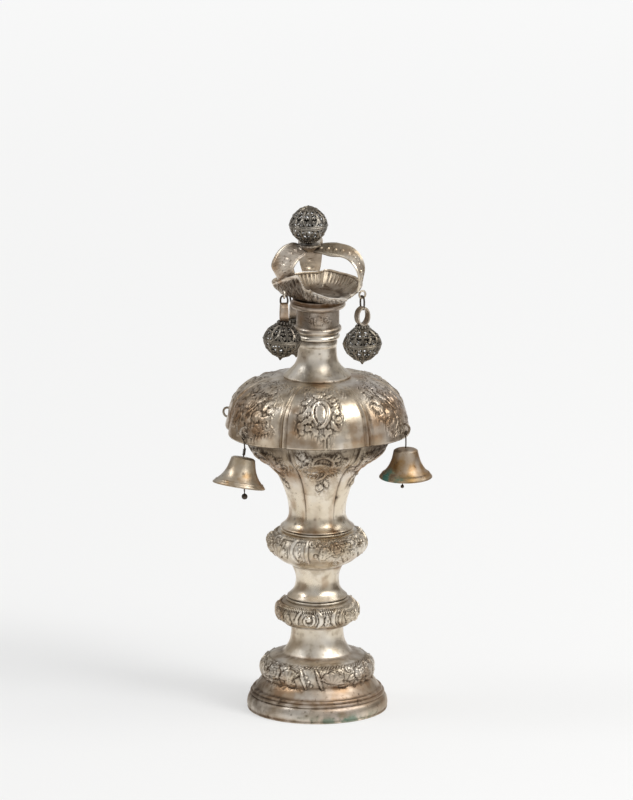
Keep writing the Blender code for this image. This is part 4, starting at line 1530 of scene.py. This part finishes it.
@dataclass
class CrownBowl:
    """The fluted bowl: six petals, one bent up, one pressed down, inside and outside in one closed sheet."""

    fold: float = -10.0
    floor: float = 211.0
    floor_radius: float = 11.5
    thickness: float = 0.8
    flutes: int = 11
    columns: int = 432
    rows: int = 42
    bent: float = -40.0
    rim: tuple[Place, ...] = (
        (-80, 22.8, 218.4), (-60, 23.0, 221.2), (-45, 23.0, 223.8), (-28, 20.8, 226.2), (-20, 20.0, 219.0),
        (-6, 22.2, 218.0), (16, 22.8, 215.0), (40, 23.0, 213.7), (70, 22.5, 216.6), (110, 22.6, 217.7),
        (150, 22.6, 218.4), (165, 22.8, 219.4), (180, 22.5, 217.9), (230, 22.5, 217.8),
    )

    def rim_at(self, azimuths: Array) -> Array:
        """The bent rim, straight between its stations and then softened.

        Args:
            azimuths: Where it is wanted.

        Returns:
            Its radii and its heights.
        """
        start = self.rim[0][0]
        stations = np.array(self.rim + ((start + 360.0, *self.rim[0][1:]),))
        around = np.arange(-6, 7) * 0.5
        spread = np.mod(azimuths[:, None] + around - start, 360) + start
        return np.array([np.interp(spread, stations[:, 0], stations[:, k]).mean(axis=1) for k in (1, 2)])

    def surface(self, azimuths: Array, share: Array, inside: bool) -> tuple[Array, Array]:
        """One side of the petals: from the floor's edge to the rim, bellied out, fluted and folded.

        Args:
            azimuths: Each column's azimuth.
            share: Each row's place from the floor's edge, 0, to the rim, 1.
            inside: The inner side, which has the flutes and a beaded band under the rim.

        Returns:
            The points in millimetres, and their stains.
        """
        radii, heights = self.rim_at(azimuths)
        place = np.mod((azimuths - self.fold) / 60.0, 1.0)
        s = share[:, None]
        folded = 2 * np.abs(place - 0.5)
        belly = np.sin(math.pi * s) * (1.3 - 0.9 * folded**4)
        radius = self.floor_radius + (radii - self.floor_radius) * s - 1.1 * folded**10 * s + 0.35 * belly
        height = self.floor + (heights - self.floor) * s**1.08 - belly
        stain = np.zeros((*radius.shape, 4))
        tarnish_and_shade, copper, _, matting = np.moveaxis(stain, -1, 0)
        # The bell towards the floor is painted shade, deep in the bowl and under it; the rest is tarnish.
        tarnish_and_shade += 0.22 + 0.7 * bell(s, 0.0, 0.35)
        copper += 0.12
        if inside:
            fluted = ramp(s, 0.40, 0.14) * ramp(s, 0.90, -0.03)
            wave = np.abs(np.sin(place * self.flutes * math.pi))
            seam = bell(np.minimum(place, 1 - place), 0.0, 0.02) * ramp(s, 0.0, 0.4)
            height = height + self.thickness + 0.55 * fluted * (wave - 0.5) + 0.5 * seam
            radius = radius - 0.25 * ramp(s, 0.86, 0.1)
            tarnish_and_shade += fluted * (0.55 * (1 - wave) ** 2) + 0.5 * bell(s, 0.905, 0.02) - 0.4 * seam
            tarnish_and_shade += 0.12 - 0.37 * (s > 0.92)
        else:
            bent = np.exp(-((off(azimuths, self.bent) / 26.0) ** 4))
            curl = np.sin(place * 7 * math.pi + 5 * s) * np.sin(s * 9 + 3 * np.cos(place * 6 * math.pi))
            vein = np.abs(np.sin(place * 12 * math.pi)) ** 0.7
            leafy = ramp(s, 0.12, 0.2) * ramp(s, 0.95, -0.04)
            relief = leafy * (0.45 * vein + 0.55 * curl)
            radius = radius + 0.55 * relief
            height = height - 0.45 * relief
            tarnish_and_shade += leafy * (0.75 * np.clip(0.25 - relief, 0, 1)) + 0.40 * bent
            tarnish_and_shade *= 1 - 0.95 * ramp(s, 0.92, 0.02)
            copper += 0.3 * bent
            matting += leafy * 0.6
        return lathe(radius, height, np.radians(azimuths - 90)), stain

    def build(self) -> Object:
        """Floor, outside, rim, inside and floor again, as one surface closed by a fan at each end."""
        azimuths = np.arange(self.columns) * 360 / self.columns
        turns = np.radians(azimuths - 90)
        share = np.linspace(0, 1, self.rows)
        outside, outer_stain = self.surface(azimuths, share, False)
        inside, inner_stain = self.surface(azimuths, share[::-1] * 0.985, True)
        under = lathe(np.array([[3.0], [7.0], [10.6]]), np.full((3, 1), self.floor - 0.3), turns)
        top = self.floor + self.thickness + 0.1
        over = lathe(np.array([[10.2], [7.0], [3.0]]), np.full((3, 1), top), turns)
        ring = lathe(np.ones((1, 1)), np.zeros((1, 1)), turns)
        lip = (outside[-1:] + inside[:1]) / 2 + UP * 0.25 + ring * 0.15
        # The floor discs get painted shade: the dark floor of the bowl and its underside.
        dark = np.broadcast_to(stain_of(0.8, 0.1), (3, self.columns, 4))
        bright = np.zeros((1, self.columns, 4))
        pile = Pile()
        grid = np.vstack((under, outside, lip, inside, over))
        pile.sheet(grid * MM, np.vstack((dark, outer_stain, bright, inner_stain, dark)), False)
        rim = (lip - UP * 0.5 - ring * 0.9)[0]
        picked = rim[(azimuths > 55) | (azimuths < 5)][::2]
        pile.beads(picked * MM, 0.5 * MM, stain_of(0.15, 0.1))
        return pile.piece("crown_bowl", SILVER)


@dataclass
class Arch:
    """One banded arch: a strip with raised, beaded borders and a row of bosses down its middle."""

    side: str
    azimuth: float
    foot_twist: float
    crest_twist: float
    crest: float
    limb: tuple[Station, ...]
    width: float = 10.6
    lift: Station = (1.6, 2.5)
    thickness: float = 0.55
    crown: Place = (-4.0, 0.0, 236.4)
    pearl_gap: float = 3.9
    columns: int = 45
    grime: float = 0.0

    def line(self) -> tuple[Array, Array]:
        """Centre line of the band's outer face in millimetres, and each step's share of the way up."""
        last, rest = np.array(self.limb[-1]), np.array((12.6, self.crest))
        over = [
            last + (rest - last) * t + np.array(self.lift) * bulge
            for t, bulge in ((0.25, 0.75), (0.5, 1.0), (0.75, 0.75))
        ]
        tucked = ((6.2, self.crown[2] + 0.4), (3.8, self.crown[2] - 0.1))
        stations = spline((*self.limb, *over, rest, *tucked), 0.28)
        shares = np.linspace(0, 1, len(stations))
        path = stations[:, :1] * outward(self.azimuth) + stations[:, 1:] * UP
        return path + np.array((*self.crown[:2], 0.0)) * (shares**3)[:, None], shares

    def build(self) -> Object:
        """The band's section, relief and all, carried along the line and turned by the twist."""
        path, shares = self.line()
        band = -sideways(self.azimuth)
        inward = unit(np.cross(band, np.gradient(path, axis=0)))
        halfway = (self.foot_twist + self.crest_twist) / 2
        twists = (self.foot_twist, self.foot_twist, halfway, self.crest_twist, 0.6 * self.crest_twist)
        turn = np.radians(np.interp(shares, (0.0, 0.15, 0.5, 0.8, 1.0), twists))[:, None]
        sides = band * np.cos(turn) - inward * np.sin(turn)
        outs = -(inward * np.cos(turn) + band * np.sin(turn))
        half = self.width / 2 * (1 - 0.3 * (1 - shares) ** 6 - 0.3 * shares**4)[:, None]
        at = np.linspace(-1, 1, self.columns)[None, :] * half
        edge = half - np.abs(at)
        bars = 0.45 * bell(edge, 0.5, 0.36) + 0.20 * bell(edge, 1.5, 0.26)
        run = runs(path)[:, None]
        step = (np.mod(run / self.pearl_gap, 1.0) - 0.5) * self.pearl_gap
        pearl = boss((step**2 + at**2) / 0.95**2) * 0.75
        leaf = 0.10 * np.abs(np.sin(run * math.pi / self.pearl_gap * 2 + at))
        leaf = leaf * (edge > 1.9) * (np.abs(at) > 1.0)
        relief = np.maximum(np.maximum(bars, pearl), leaf)
        across = np.concatenate((at, at[:, ::-4]), axis=1)
        lift = np.concatenate((relief - 0.35, 0.5 * relief[:, ::-4] - 0.35 - self.thickness), axis=1)
        grid = path[:, None] + sides[:, None] * across[..., None] + outs[:, None] * lift[..., None]
        stain = np.zeros((*grid.shape[:2], 4))
        front, back = stain[:, : self.columns], stain[:, self.columns :]
        front[..., Mark.TARNISH_AND_SHADE] = np.clip(0.22 - relief, 0, 0.22) * 1.4
        front[..., Mark.COPPER] = 0.25 * np.abs(np.sin(run * 0.31 + 1)) * (edge > 1.5)
        back[..., Mark.TARNISH_AND_SHADE] = 0.14
        back[..., Mark.COPPER] = 0.35
        stain[..., Mark.TARNISH_AND_SHADE] += self.grime + 0.85 * ramp(shares, 0.88, 0.10)[:, None]
        stain[..., Mark.COPPER] += self.grime
        pile = Pile()
        pile.sheet(grid * MM, stain, False)
        return pile.piece(f"arch_{self.side}", SILVER)


ARCHES = (
    Arch("right", 62.0, 18.0, -34.0, 236.6, ((23.9, 217.2), (25.0, 222.0), (24.9, 228.0))),
    Arch("back", 188.0, 0.0, 0.0, 237.4, ((23.2, 218.4), (25.0, 223.5), (25.3, 228.0)), 12.6),
    Arch(
        "left", -50.0, 26.0, 30.0, 236.6, ((20.2, 221.4), (20.7, 224.4), (21.8, 227.2), (22.8, 229.6)), 12.2,
        (1.0, 1.4), grime=0.13,
    ),
)


@dataclass
class CrownDisc:
    """The dished disc where the arches meet, with a short socket for the ball above it."""

    centre: Place = (-4.0, 0.0, 236.4)
    profile: tuple[Station, ...] = (
        (0.6, -0.3), (3.2, -0.1), (5.6, 0.7), (5.7, 1.2), (5.0, 1.5), (3.0, 1.2), (2.2, 1.3), (0.6, 1.35),
    )

    def build(self) -> Object:
        """The profile carried round, with a scalloped edge, and closed at both ends."""
        section, turns = spline(self.profile, 0.25), circle(72)
        scallop = 1 + 0.05 * np.abs(np.sin(turns * 6)) * (section[:, :1] > 4.5)
        grid = lathe(section[:, :1] * scallop, section[:, 1:], turns)
        pile = Pile()
        pile.sheet((grid + np.array(self.centre)) * MM, stain_of(0.7, 0.1, 0.05, 0.2), False)
        return pile.piece("crown_disc", SILVER)


class BallTips(Enum):
    """How a filigree ball ends at its poles: its pointed end's side and length, and its blunt end's."""

    HANGING = ((-1, 2.1), (1, 0.4))
    STANDING = ((1, 1.0), (-1, 0.2))


@dataclass
class FiligreeBall:
    """An openwork ball: flat ribs from pole to pole, a banded girdle, and paired scrolls in each gore."""

    node: str
    centre: Place
    tips: BallTips
    lean: float = 0.0
    radius: float = 9.3
    squash: float = 0.94
    gores: int = 12
    wire: float = 0.42
    turn: float = 0.0

    def globe(self, longitude: Array, latitude: Array) -> Array:
        """Points on the ball in its own frame, a little pointed at its girdle and its poles.

        Args:
            longitude: Angles round it in radians.
            latitude: Angles up from its girdle in radians.

        Returns:
            The points in millimetres.
        """
        flat = np.abs(np.cos(latitude)) ** 1.22
        rise = np.sign(latitude) * np.abs(np.sin(latitude)) ** 1.14
        points = np.stack((flat * np.cos(longitude), flat * np.sin(longitude), rise), axis=-1)
        return points * self.radius * np.array((1.0, 1.0, self.squash))

    def place(self, points: Array) -> Array:
        """The ball's own points, leaned, carried to its centre and made metres."""
        return (leaned(points, self.lean) + np.array(self.centre)) * MM

    def wires(
        self, pile: Pile, longitude: Array, latitude: Array, thick: float, stain: Array = CLEAN
    ) -> None:
        """Lay wires on the ball.

        Args:
            pile: What the ball is gathered in.
            longitude: A wire's longitudes in radians, one row each.
            latitude: Its latitudes.
            thick: Its radius.
            stain: Its stain.
        """
        paths = self.globe(longitude, latitude)
        # The side of each wire turned into the ball gets painted shade.
        pile.tubes(self.place(paths), leaned(unit(paths), self.lean), thick * MM, 5, False, stain, 1.0)

    def scrolls(
        self, pile: Pile, middles: Array, level: float, size: float, hand: int, stain: Array
    ) -> None:
        """One small spiral in each gore: its radius shrinks evenly over a turn and a half.

        Args:
            pile: What the ball is gathered in.
            middles: The spirals' longitudes, one row each.
            level: Their latitude in radians.
            size: Their outer radius in radians.
            hand: 1 or -1, which way they wind.
            stain: Stain of the wire.
        """
        bend = np.linspace(0, 1, 11)
        wind = 3.0 * math.pi * bend + math.pi / 2
        shrink = size * (1 - 0.78 * bend)
        curl = middles + hand * shrink * np.cos(wind) / math.cos(level)
        rise = np.broadcast_to(level + shrink * np.sin(wind) * (1 if level > 0 else -1), curl.shape)
        self.wires(pile, curl, rise, 0.27, stain)

    def poles(self, pile: Pile) -> None:
        """The cap rings, the pointed tip, and granules round a hanging ball's neck."""
        top = self.radius * self.squash
        around = circle(12)
        pointed, blunt = (0.5, 1.9, 2.6, 1.5, 0.7, 0.35), (0.5, 2.2, 2.9, 2.6, 1.4, 0.5)
        for (way, length), radii in zip(self.tips.value, (pointed, blunt)):
            rise = np.array((-1.0, -0.7, -0.1, 0.25, 0.7, 1.0)) * max(length, 0.5)
            cap = lathe(np.array(radii)[:, None], ((top - 0.35 + rise) * way)[:, None], around)
            pile.sheet(self.place(cap), CLEAN, False)
        if self.tips is BallTips.HANGING:
            neck = lathe(np.full((1, 1), 2.9), np.full((1, 1), top + 0.1), around)[0]
            pile.beads(self.place(neck), 0.8 * MM)

    def build(self) -> Object:
        """Ribs, girdle, pointed arches, scrolls, rings and granules, joined into one piece."""
        pile = Pile()
        dark = stain_of(0.25)
        gore = TURN / self.gores
        starts = circle(self.gores)[:, None] + math.radians(self.turn)
        latitude = np.broadcast_to(np.linspace(-1.42, 1.42, 19), (self.gores, 19))
        self.wires(pile, np.broadcast_to(starts, latitude.shape), latitude, self.wire)
        around = circle(48)
        for level, thick in ((0.0, 0.55), (0.12, 0.36), (-0.12, 0.36), (1.28, 0.5), (-1.28, 0.5)):
            ring = self.globe(around, np.full_like(around, level))[None]
            # The rings' side turned into the ball gets painted shade too.
            pile.tubes(self.place(ring), leaned(unit(ring), self.lean), thick * MM, 6, True, CLEAN, 0.9)
        middles = starts + gore / 2
        t = np.linspace(0, 1, 12)
        arch = 0.44 * gore * np.sin(math.pi * t) ** 0.75
        for half in (1, -1):
            for hand in (1, -1):
                rise = np.broadcast_to(half * (0.14 + 1.06 * t), (self.gores, 12))
                self.wires(pile, middles + hand * arch, rise, 0.32)
                for places, aside, level, size, way in (
                    (middles, 0.12, 0.36, 0.10, hand),
                    (middles, 0.09, 0.80, 0.07, hand),
                    (starts, 0.075, 0.60, 0.06, -hand),
                ):
                    curls = places + hand * aside / math.cos(level)
                    self.scrolls(pile, curls, half * level, size, way, dark)
            for level in (0.62, 0.22):
                self.scrolls(pile, middles, half * level, 0.05, 1, CLEAN)
        grains = (starts + gore * np.array((0.0, 0.5))).ravel()
        for level in (0.0, 0.58, -0.58, 1.02, -1.02):
            centres = self.globe(grains, np.full(grains.size, level)) * 1.01
            pile.beads(self.place(centres), 0.54 * MM)
        self.poles(pile)
        return pile.piece(self.node, FILIGREE, 60)


@dataclass
class Hanging:
    """A hanging ball with its strap loop, wire link and eyelet."""

    side: str
    azimuth: float
    radius: float
    height: float
    lean: float
    twist: float
    link_half: float
    eyelet: float
    tone: Station
    neck: float = 8.835
    band: float = 4.4
    strap: float = 3.2
    section: tuple[Station, ...] = (
        (-1, -0.36), (-0.85, -0.46), (0.85, -0.46), (1, -0.36), (1, 0.32), (0.85, 0.46), (0.5, 0.34),
        (-0.5, 0.34), (-0.85, 0.46), (-1, 0.32),
    )

    def oval(self, centre: Array, across: Array, wide: float, tall: float, full: float = 1) -> Array:
        """Points round an upright oval.

        Args:
            centre: Its middle.
            across: The way of its width.
            wide: Half its width.
            tall: Half its height.
            full: Power of the sines of its angles; below 1 its sides are straighter.

        Returns:
            The points, one row each.
        """
        angles = circle(48)
        sines = np.sign(np.sin(angles)) * np.abs(np.sin(angles)) ** full
        return centre + np.outer(sines, across) * wide + np.outer(np.cos(angles), UP) * tall

    def loop(
        self, node: str, finish: Finish, path: Array, normal: Array, radius: float, stain: Array
    ) -> Object:
        """A closed round wire along a path, as a piece.

        Args:
            node: The node that it replaces.
            finish: What it is made of.
            path: Its middle line in millimetres.
            normal: A way that is roughly square to the path.
            radius: The wire's radius.
            stain: The wire's stain.

        Returns:
            The piece.
        """
        pile = Pile()
        pile.tubes(path[None] * MM, normal, radius * MM, 8, True, stain)
        return pile.piece(node, finish)

    def build(self) -> list[Object]:
        """The ball, and the three loops that it hangs by, each through the last."""
        foot = outward(self.azimuth) * self.radius
        aside = math.sin(math.radians(self.lean)) * self.neck
        neck = foot + np.array((aside, 0.0, self.height + self.neck))
        centre = tuple(foot + UP * self.height)
        ball = FiligreeBall(f"ball_{self.side}", centre, BallTips.HANGING, self.lean, turn=self.azimuth)
        facing = self.azimuth + self.twist
        across, out = sideways(facing), outward(facing)
        middle = neck + UP * (0.9 + self.band)
        path = self.oval(middle, across, self.strap, self.band)
        tangent = np.roll(path, -1, axis=0) - np.roll(path, 1, axis=0)
        normal = unit(np.cross(out, tangent))
        half = 2.15 * (0.92 - 0.08 * np.cos(circle(48)))
        section = np.array(self.section)
        grid = path[:, None] + out * (half[:, None] * section[:, 0])[..., None]
        grid = grid + normal[:, None] * section[:, 1:]
        strap = Pile()
        strap.sheet(grid * MM, stain_of(*self.tone))
        link_middle = middle + UP * (self.band - 1.0 + self.link_half)
        link = self.oval(link_middle, out, 1.8, self.link_half, 0.6)
        eye_middle = link_middle + UP * (self.link_half - 1.0 + self.eyelet)
        eye = self.oval(eye_middle, across, self.eyelet, self.eyelet)
        return [
            ball.build(),
            strap.piece(f"strap_{self.side}", SILVER),
            self.loop(f"link_{self.side}", WIRE, link, across, 0.46, stain_of(0.3, 0.2)),
            self.loop(f"eyelet_{self.side}", SILVER, eye, out, 0.50, stain_of(0.25, 0.1)),
        ]


HANGINGS = (
    Hanging("right", 62, 25.3, 189.8, 0.0, -30, 3.4, 1.8, (0.45, 0.35)),
    Hanging("left", -45, 24.6, 193.2, 6.0, -40, 2.4, 1.8, (0.25, 0.85)),
    Hanging("back", 208, 24.0, 185.2, -4.0, 60, 5.4, 2.2, (0.06, 0.25)),
)


# --- Bells ---


@dataclass
class EdgeRing:
    """A wire eyelet standing on the dome's edge, its two ends let into the wall."""

    side: str
    azimuth: float
    radius: float
    height: float
    ring: float = 2.35
    wire: float = 0.58

    def centre(self) -> Array:
        """Its middle, in millimetres."""
        return outward(self.azimuth) * self.radius + UP * self.height

    def build(self) -> Object:
        """An arc of 244 degrees, upright, thicker where it meets the wall."""
        angles = np.radians(np.linspace(-122, 122, 30))
        path = self.centre() + np.outer(np.cos(angles), outward(self.azimuth)) * self.ring
        path = path + np.outer(np.sin(angles), UP) * self.ring
        wire = self.wire * (1 + 0.5 * bell(np.abs(angles), angles.max(), 0.25))
        pile = Pile()
        pile.tubes(path[None] * MM, sideways(self.azimuth), (wire * MM)[None], 8, False, stain_of(0.7, 0.25))
        return pile.piece(f"ring_{self.side}", SILVER)


@dataclass
class Bell:
    """A bell with a rolled lip, hung by a wire hook, with a ball-ended clapper."""

    ring: EdgeRing
    crown: float
    lean: float
    clapper_lean: float
    clapper: float
    gilt: float
    green: float
    nod: float = 0.0
    set_back: float = 0.0
    tongue_drop: float = 4.8
    height: float = 14.6
    twisted: bool = False
    profile: tuple[tuple[Station, ...], ...] = (
        ((0.4, 0.02), (3.0, 0.0), (5.0, -0.15), (6.0, -0.8)),
        ((6.5, -3.0), (7.1, -5.4), (8.1, -7.8), (9.6, -10.2), (11.2, -12.0)),
        ((11.8, -12.1), (12.0, -12.6)),
        ((12.7, -13.4), (13.1, -14.0), (13.1, -14.4), (12.6, -14.7)),
        ((12.2, -14.3), (10.9, -12.7), (9.2, -10.6), (7.6, -8.2), (6.5, -5.6), (5.8, -3.0),
         (5.2, -1.1), (0.4, -1.0)),
    )

    @property
    def hang(self) -> Array:
        """Where the hook hangs in plan, in millimetres."""
        return self.ring.centre() * (1, 1, 0) + outward(self.ring.azimuth) * 0.3

    @property
    def top(self) -> Array:
        """The middle of the bell's crown, in millimetres."""
        return self.hang + np.array((0.0, self.set_back, self.crown))

    def build(self) -> list[Object]:
        """The bell, its hook and its clapper."""
        side = self.ring.side
        return [
            self.body().piece(f"bell_{side}", BELL_METAL),
            self.hook().piece(f"hook_{side}", WIRE),
            self.tongue().piece(f"clapper_{side}", WIRE),
        ]

    def body(self) -> Pile:
        """The bell itself, a little out of round, with gilding left low down and green at one side."""
        section, turns = chained(self.profile, 0.3), circle(72)
        radius, depth = section[:, :1], -section[:, 1:]
        dent = 0.18 * np.sin(2 * turns + 0.7) * (radius / 13.0) ** 2
        grid = lathe(radius + dent, -depth, turns)
        low = ramp(depth, 2.0, 5.0)
        streak = np.clip(0.75 + 0.25 * np.sin(turns * 3 + 1) + 0.2 * np.sin(turns * 7 + depth * 0.4), 0, 1)
        aside = bell(np.radians(off(np.degrees(turns), 232)), 0.0, 0.60)
        ragged = 0.75 + 0.25 * np.sin(turns * 9 - depth)
        edge = 9.4 + 1.6 * np.sin(turns * 3 + 0.5)
        stain = np.zeros((*grid.shape[:2], 4))
        stain[..., Mark.TARNISH_AND_SHADE] = 0.35 * bell(depth, 12.2, 0.3) + 0.10
        stain[..., Mark.TARNISH_AND_SHADE] += 0.30 * self.gilt * low * (1 - streak)
        stain[..., Mark.COPPER] = self.gilt * (0.45 + 0.55 * low) * streak
        stain[..., Mark.VERDIGRIS] = self.green * aside * ramp(depth, edge, 1.6) * ragged
        stain[len(section) * 5 // 8 :, :, Mark.TARNISH_AND_SHADE] += 0.45
        pile = Pile()
        pile.sheet((leaned(grid, self.lean, self.nod) + self.top) * MM, stain, False)
        return pile

    def hook(self) -> Pile:
        """A bent wire that loops through the ring and goes down into the crown."""
        across, top = sideways(self.ring.azimuth), self.top
        eye = self.hang + UP * (self.ring.height - self.ring.ring)
        angles = np.radians(np.linspace(-60, 245, 22))
        loop = eye + np.outer(np.cos(angles), across) * 1.2 + np.outer(np.sin(angles), UP) * 1.2
        kink = top + UP * (0.45 * (eye - top)[2]) + across * (0.9 if self.twisted else 0.15)
        path = spline(np.vstack((loop, kink, top + UP * 0.35)), 0.3)
        pile = Pile()
        pile.tubes(path[None] * MM, outward(self.ring.azimuth), 0.36 * MM, 8, False, SOOTY)
        if self.twisted:
            angles = np.linspace(0, 5 * TURN, 70)
            rise = np.linspace(0.15, 0.62, 70)
            curl = np.stack((np.cos(angles), np.sin(angles), np.zeros(70)), axis=-1) * 0.55
            along = top + (kink - top) * rise[:, None] * 1.5 + curl
            pile.tubes(along[None] * MM, UP, 0.26 * MM, 6, False, SOOTY)
        return pile

    def tongue(self) -> Pile:
        """The clapper: a wire with a ball at its end, hanging just out of the mouth."""
        ball, end = self.clapper, -(self.height + self.tongue_drop)
        section = spline(
            (
                (0.12, end - ball), (ball * 0.72, end - ball * 0.72), (ball, end),
                (ball * 0.72, end + ball * 0.72), (0.36, end + ball), (0.34, end + ball + 1.5), (0.34, -1.4),
            ),
            0.3,
        )
        grid = lathe(section[:, :1], section[:, 1:], circle(16))
        pile = Pile()
        pile.sheet((leaned(grid, self.clapper_lean) + self.top) * MM, SOOTY, False)
        return pile


RINGS = {
    "left": EdgeRing("left", -49, 48.25, 149.4),
    "right": EdgeRing("right", 64, 48.6, 148.6),
    "back": EdgeRing("back", 186, 49.39, 148.6),
    "far_left": EdgeRing("far_left", -114, 49.01, 146.8),
    "far_right": EdgeRing("far_right", 126, 49.51, 148.0),
}
BELLS = (
    Bell(RINGS["left"], 136.4, 9.5, -1.5, 1.5, 0.45, 0.0, 10.0, 1.4, 5.6, twisted=True),
    Bell(RINGS["right"], 138.4, 0.0, 5.0, 0.9, 1.35, 1.8),
    Bell(RINGS["back"], 137.4, -2.0, 1.0, 1.2, 0.5, 0.3),
)


# --- Room ---


@dataclass(frozen=True)
class Lamp:
    """A soft rectangular lamp: its place and size are in metres, and its power in watts."""

    name: str
    place: Place
    size: Station
    power: float
    colour: Colour
    mirrored: bool = True

    def build(self) -> None:
        """Hang it, looking at the finial; unless it is mirrored, it lights only what is matt."""
        data = bpy.data.lights.new(self.name, "AREA")
        data.shape = "RECTANGLE"
        data.size, data.size_y = self.size
        data.energy = self.power
        data.color = self.colour
        lamp = linked(self.name, data)
        lamp.location = self.place
        lamp.rotation_euler = (Vector((0, 0, 0.13)) - lamp.location).to_track_quat("-Z", "Y").to_euler()
        lamp.visible_glossy = self.mirrored


LAMPS = (
    Lamp("key", (0.80, -0.32, 1.12), (1.30, 0.80), 9.8, (1.0, 0.985, 0.95)),
    Lamp("left_strip", (-0.86, -0.02, 1.10), (0.34, 0.60), 2.6, (0.98, 0.99, 1.0)),
    Lamp("shadow", (2.21, -1.38, 2.03), (1.0, 1.0), 52.0, (1.0, 1.0, 1.0), False),
)


@dataclass
class Studio:
    """A pale glowing table, three soft lamps, grey cards for the metal to mirror, and the camera."""

    distance: float = 6.0
    eye: float = 1.658
    aim: Vector = Vector((-0.0004, 0.0, 0.158))
    lens: float = 558.7
    table: Colour = (0.36, 0.36, 0.358)
    glow: Station = (0.505, 0.705)
    card: Colour = (0.22, 0.19, 0.16)
    cards: tuple[tuple[str, float, float, float, float], ...] = (
        ("left_card", -0.42, -0.28, 0.55, 0.26), ("right_card", 0.46, -0.10, 0.55, 0.22),
    )
    sky: float = 0.46

    def board(self, name: str, corners: Sequence[Place], colour: Colour, glow: Station) -> Object:
        """A flat stage board with a matt paint, whose glow changes from its front to its back.

        Args:
            name: Its name.
            corners: Its four corners in metres, in order.
            colour: Its colour.
            glow: How much light it gives off at the finial, and 1.7 m behind it.

        Returns:
            The board.
        """
        mesh = bpy.data.meshes.new(name)
        mesh.from_pydata(corners, [], [(0, 1, 2, 3)])
        paint = bpy.data.materials.new(name)
        paint.use_nodes = True
        nodes, links = paint.node_tree.nodes, paint.node_tree.links
        shader = nodes["Principled BSDF"]
        shader.inputs["Base Color"].default_value = (*colour, 1.0)
        shader.inputs["Roughness"].default_value = 0.9
        shader.inputs["Specular IOR Level"].default_value = 0.1
        shader.inputs["Emission Color"].default_value = (1.0, 1.0, 0.995, 1.0)
        place, slope, split = (
            nodes.new(kind) for kind in ("ShaderNodeTexCoord", "ShaderNodeMapRange", "ShaderNodeSeparateXYZ")
        )
        for socket, value in zip(slope.inputs[1:5], (0.0, 1.7, *glow)):
            socket.default_value = value
        links.new(place.outputs["Object"], split.inputs[0])
        links.new(split.outputs["Y"], slope.inputs["Value"])
        links.new(slope.outputs[0], shader.inputs["Emission Strength"])
        mesh.materials.append(paint)
        board = linked(name, mesh)
        return board

    def camera(self) -> None:
        """A long lens that looks down a little at the finial's middle."""
        data = bpy.data.cameras.new("camera")
        data.sensor_width = 36.0
        data.sensor_fit = "AUTO"
        data.lens = self.lens
        data.clip_start, data.clip_end = 0.1, 100.0
        camera = linked("camera", data)
        camera.location = (self.aim.x, -self.distance, self.eye)
        camera.rotation_euler = (self.aim - camera.location).to_track_quat("-Z", "Y").to_euler()
        bpy.context.scene.camera = camera

    def build(self) -> None:
        """Table, cards, sky, lamps and camera."""
        bpy.context.scene.view_settings.view_transform = "Standard"
        table = [(x * 5.0, y * 5.0, 0.0) for x, y in ((-1, -1), (1, -1), (1, 1), (-1, 1))]
        self.board("studio_table", table, self.table, self.glow)
        for name, side, front, rear, high in self.cards:
            corners = ((side, front, 0.0), (side, rear, 0.0), (side, rear, high), (side, front, high))
            card = self.board(name, corners, self.card, (0.0, 0.0))
            card.visible_camera = False
            card.visible_diffuse = False
            card.visible_shadow = False
        world = bpy.data.worlds.new("studio_sky")
        bpy.context.scene.world = world
        world.use_nodes = True
        sky = world.node_tree.nodes["Background"]
        sky.inputs["Color"].default_value = (0.97, 0.98, 1.0, 1.0)
        sky.inputs["Strength"].default_value = self.sky
        for lamp in LAMPS:
            lamp.build()
        self.camera()


def main() -> None:
    """Build the room, then the finial from the foot up."""
    logging.basicConfig(level=logging.INFO, format="%(name)s: %(message)s")
    Studio().build()
    top_ball = FiligreeBall("top_ball", (-4.4, 0.0, 247.6), BallTips.STANDING, squash=1.0, turn=8.0)
    for part in (*BODY, CrownBowl(), *ARCHES, CrownDisc(), top_ball, *HANGINGS, *RINGS.values(), *BELLS):
        built = part.build()
        for piece in built if isinstance(built, list) else [built]:
            LOG.info("%s: %d faces", piece.name, len(piece.data.polygons))


if __name__ == "__main__":
    main()
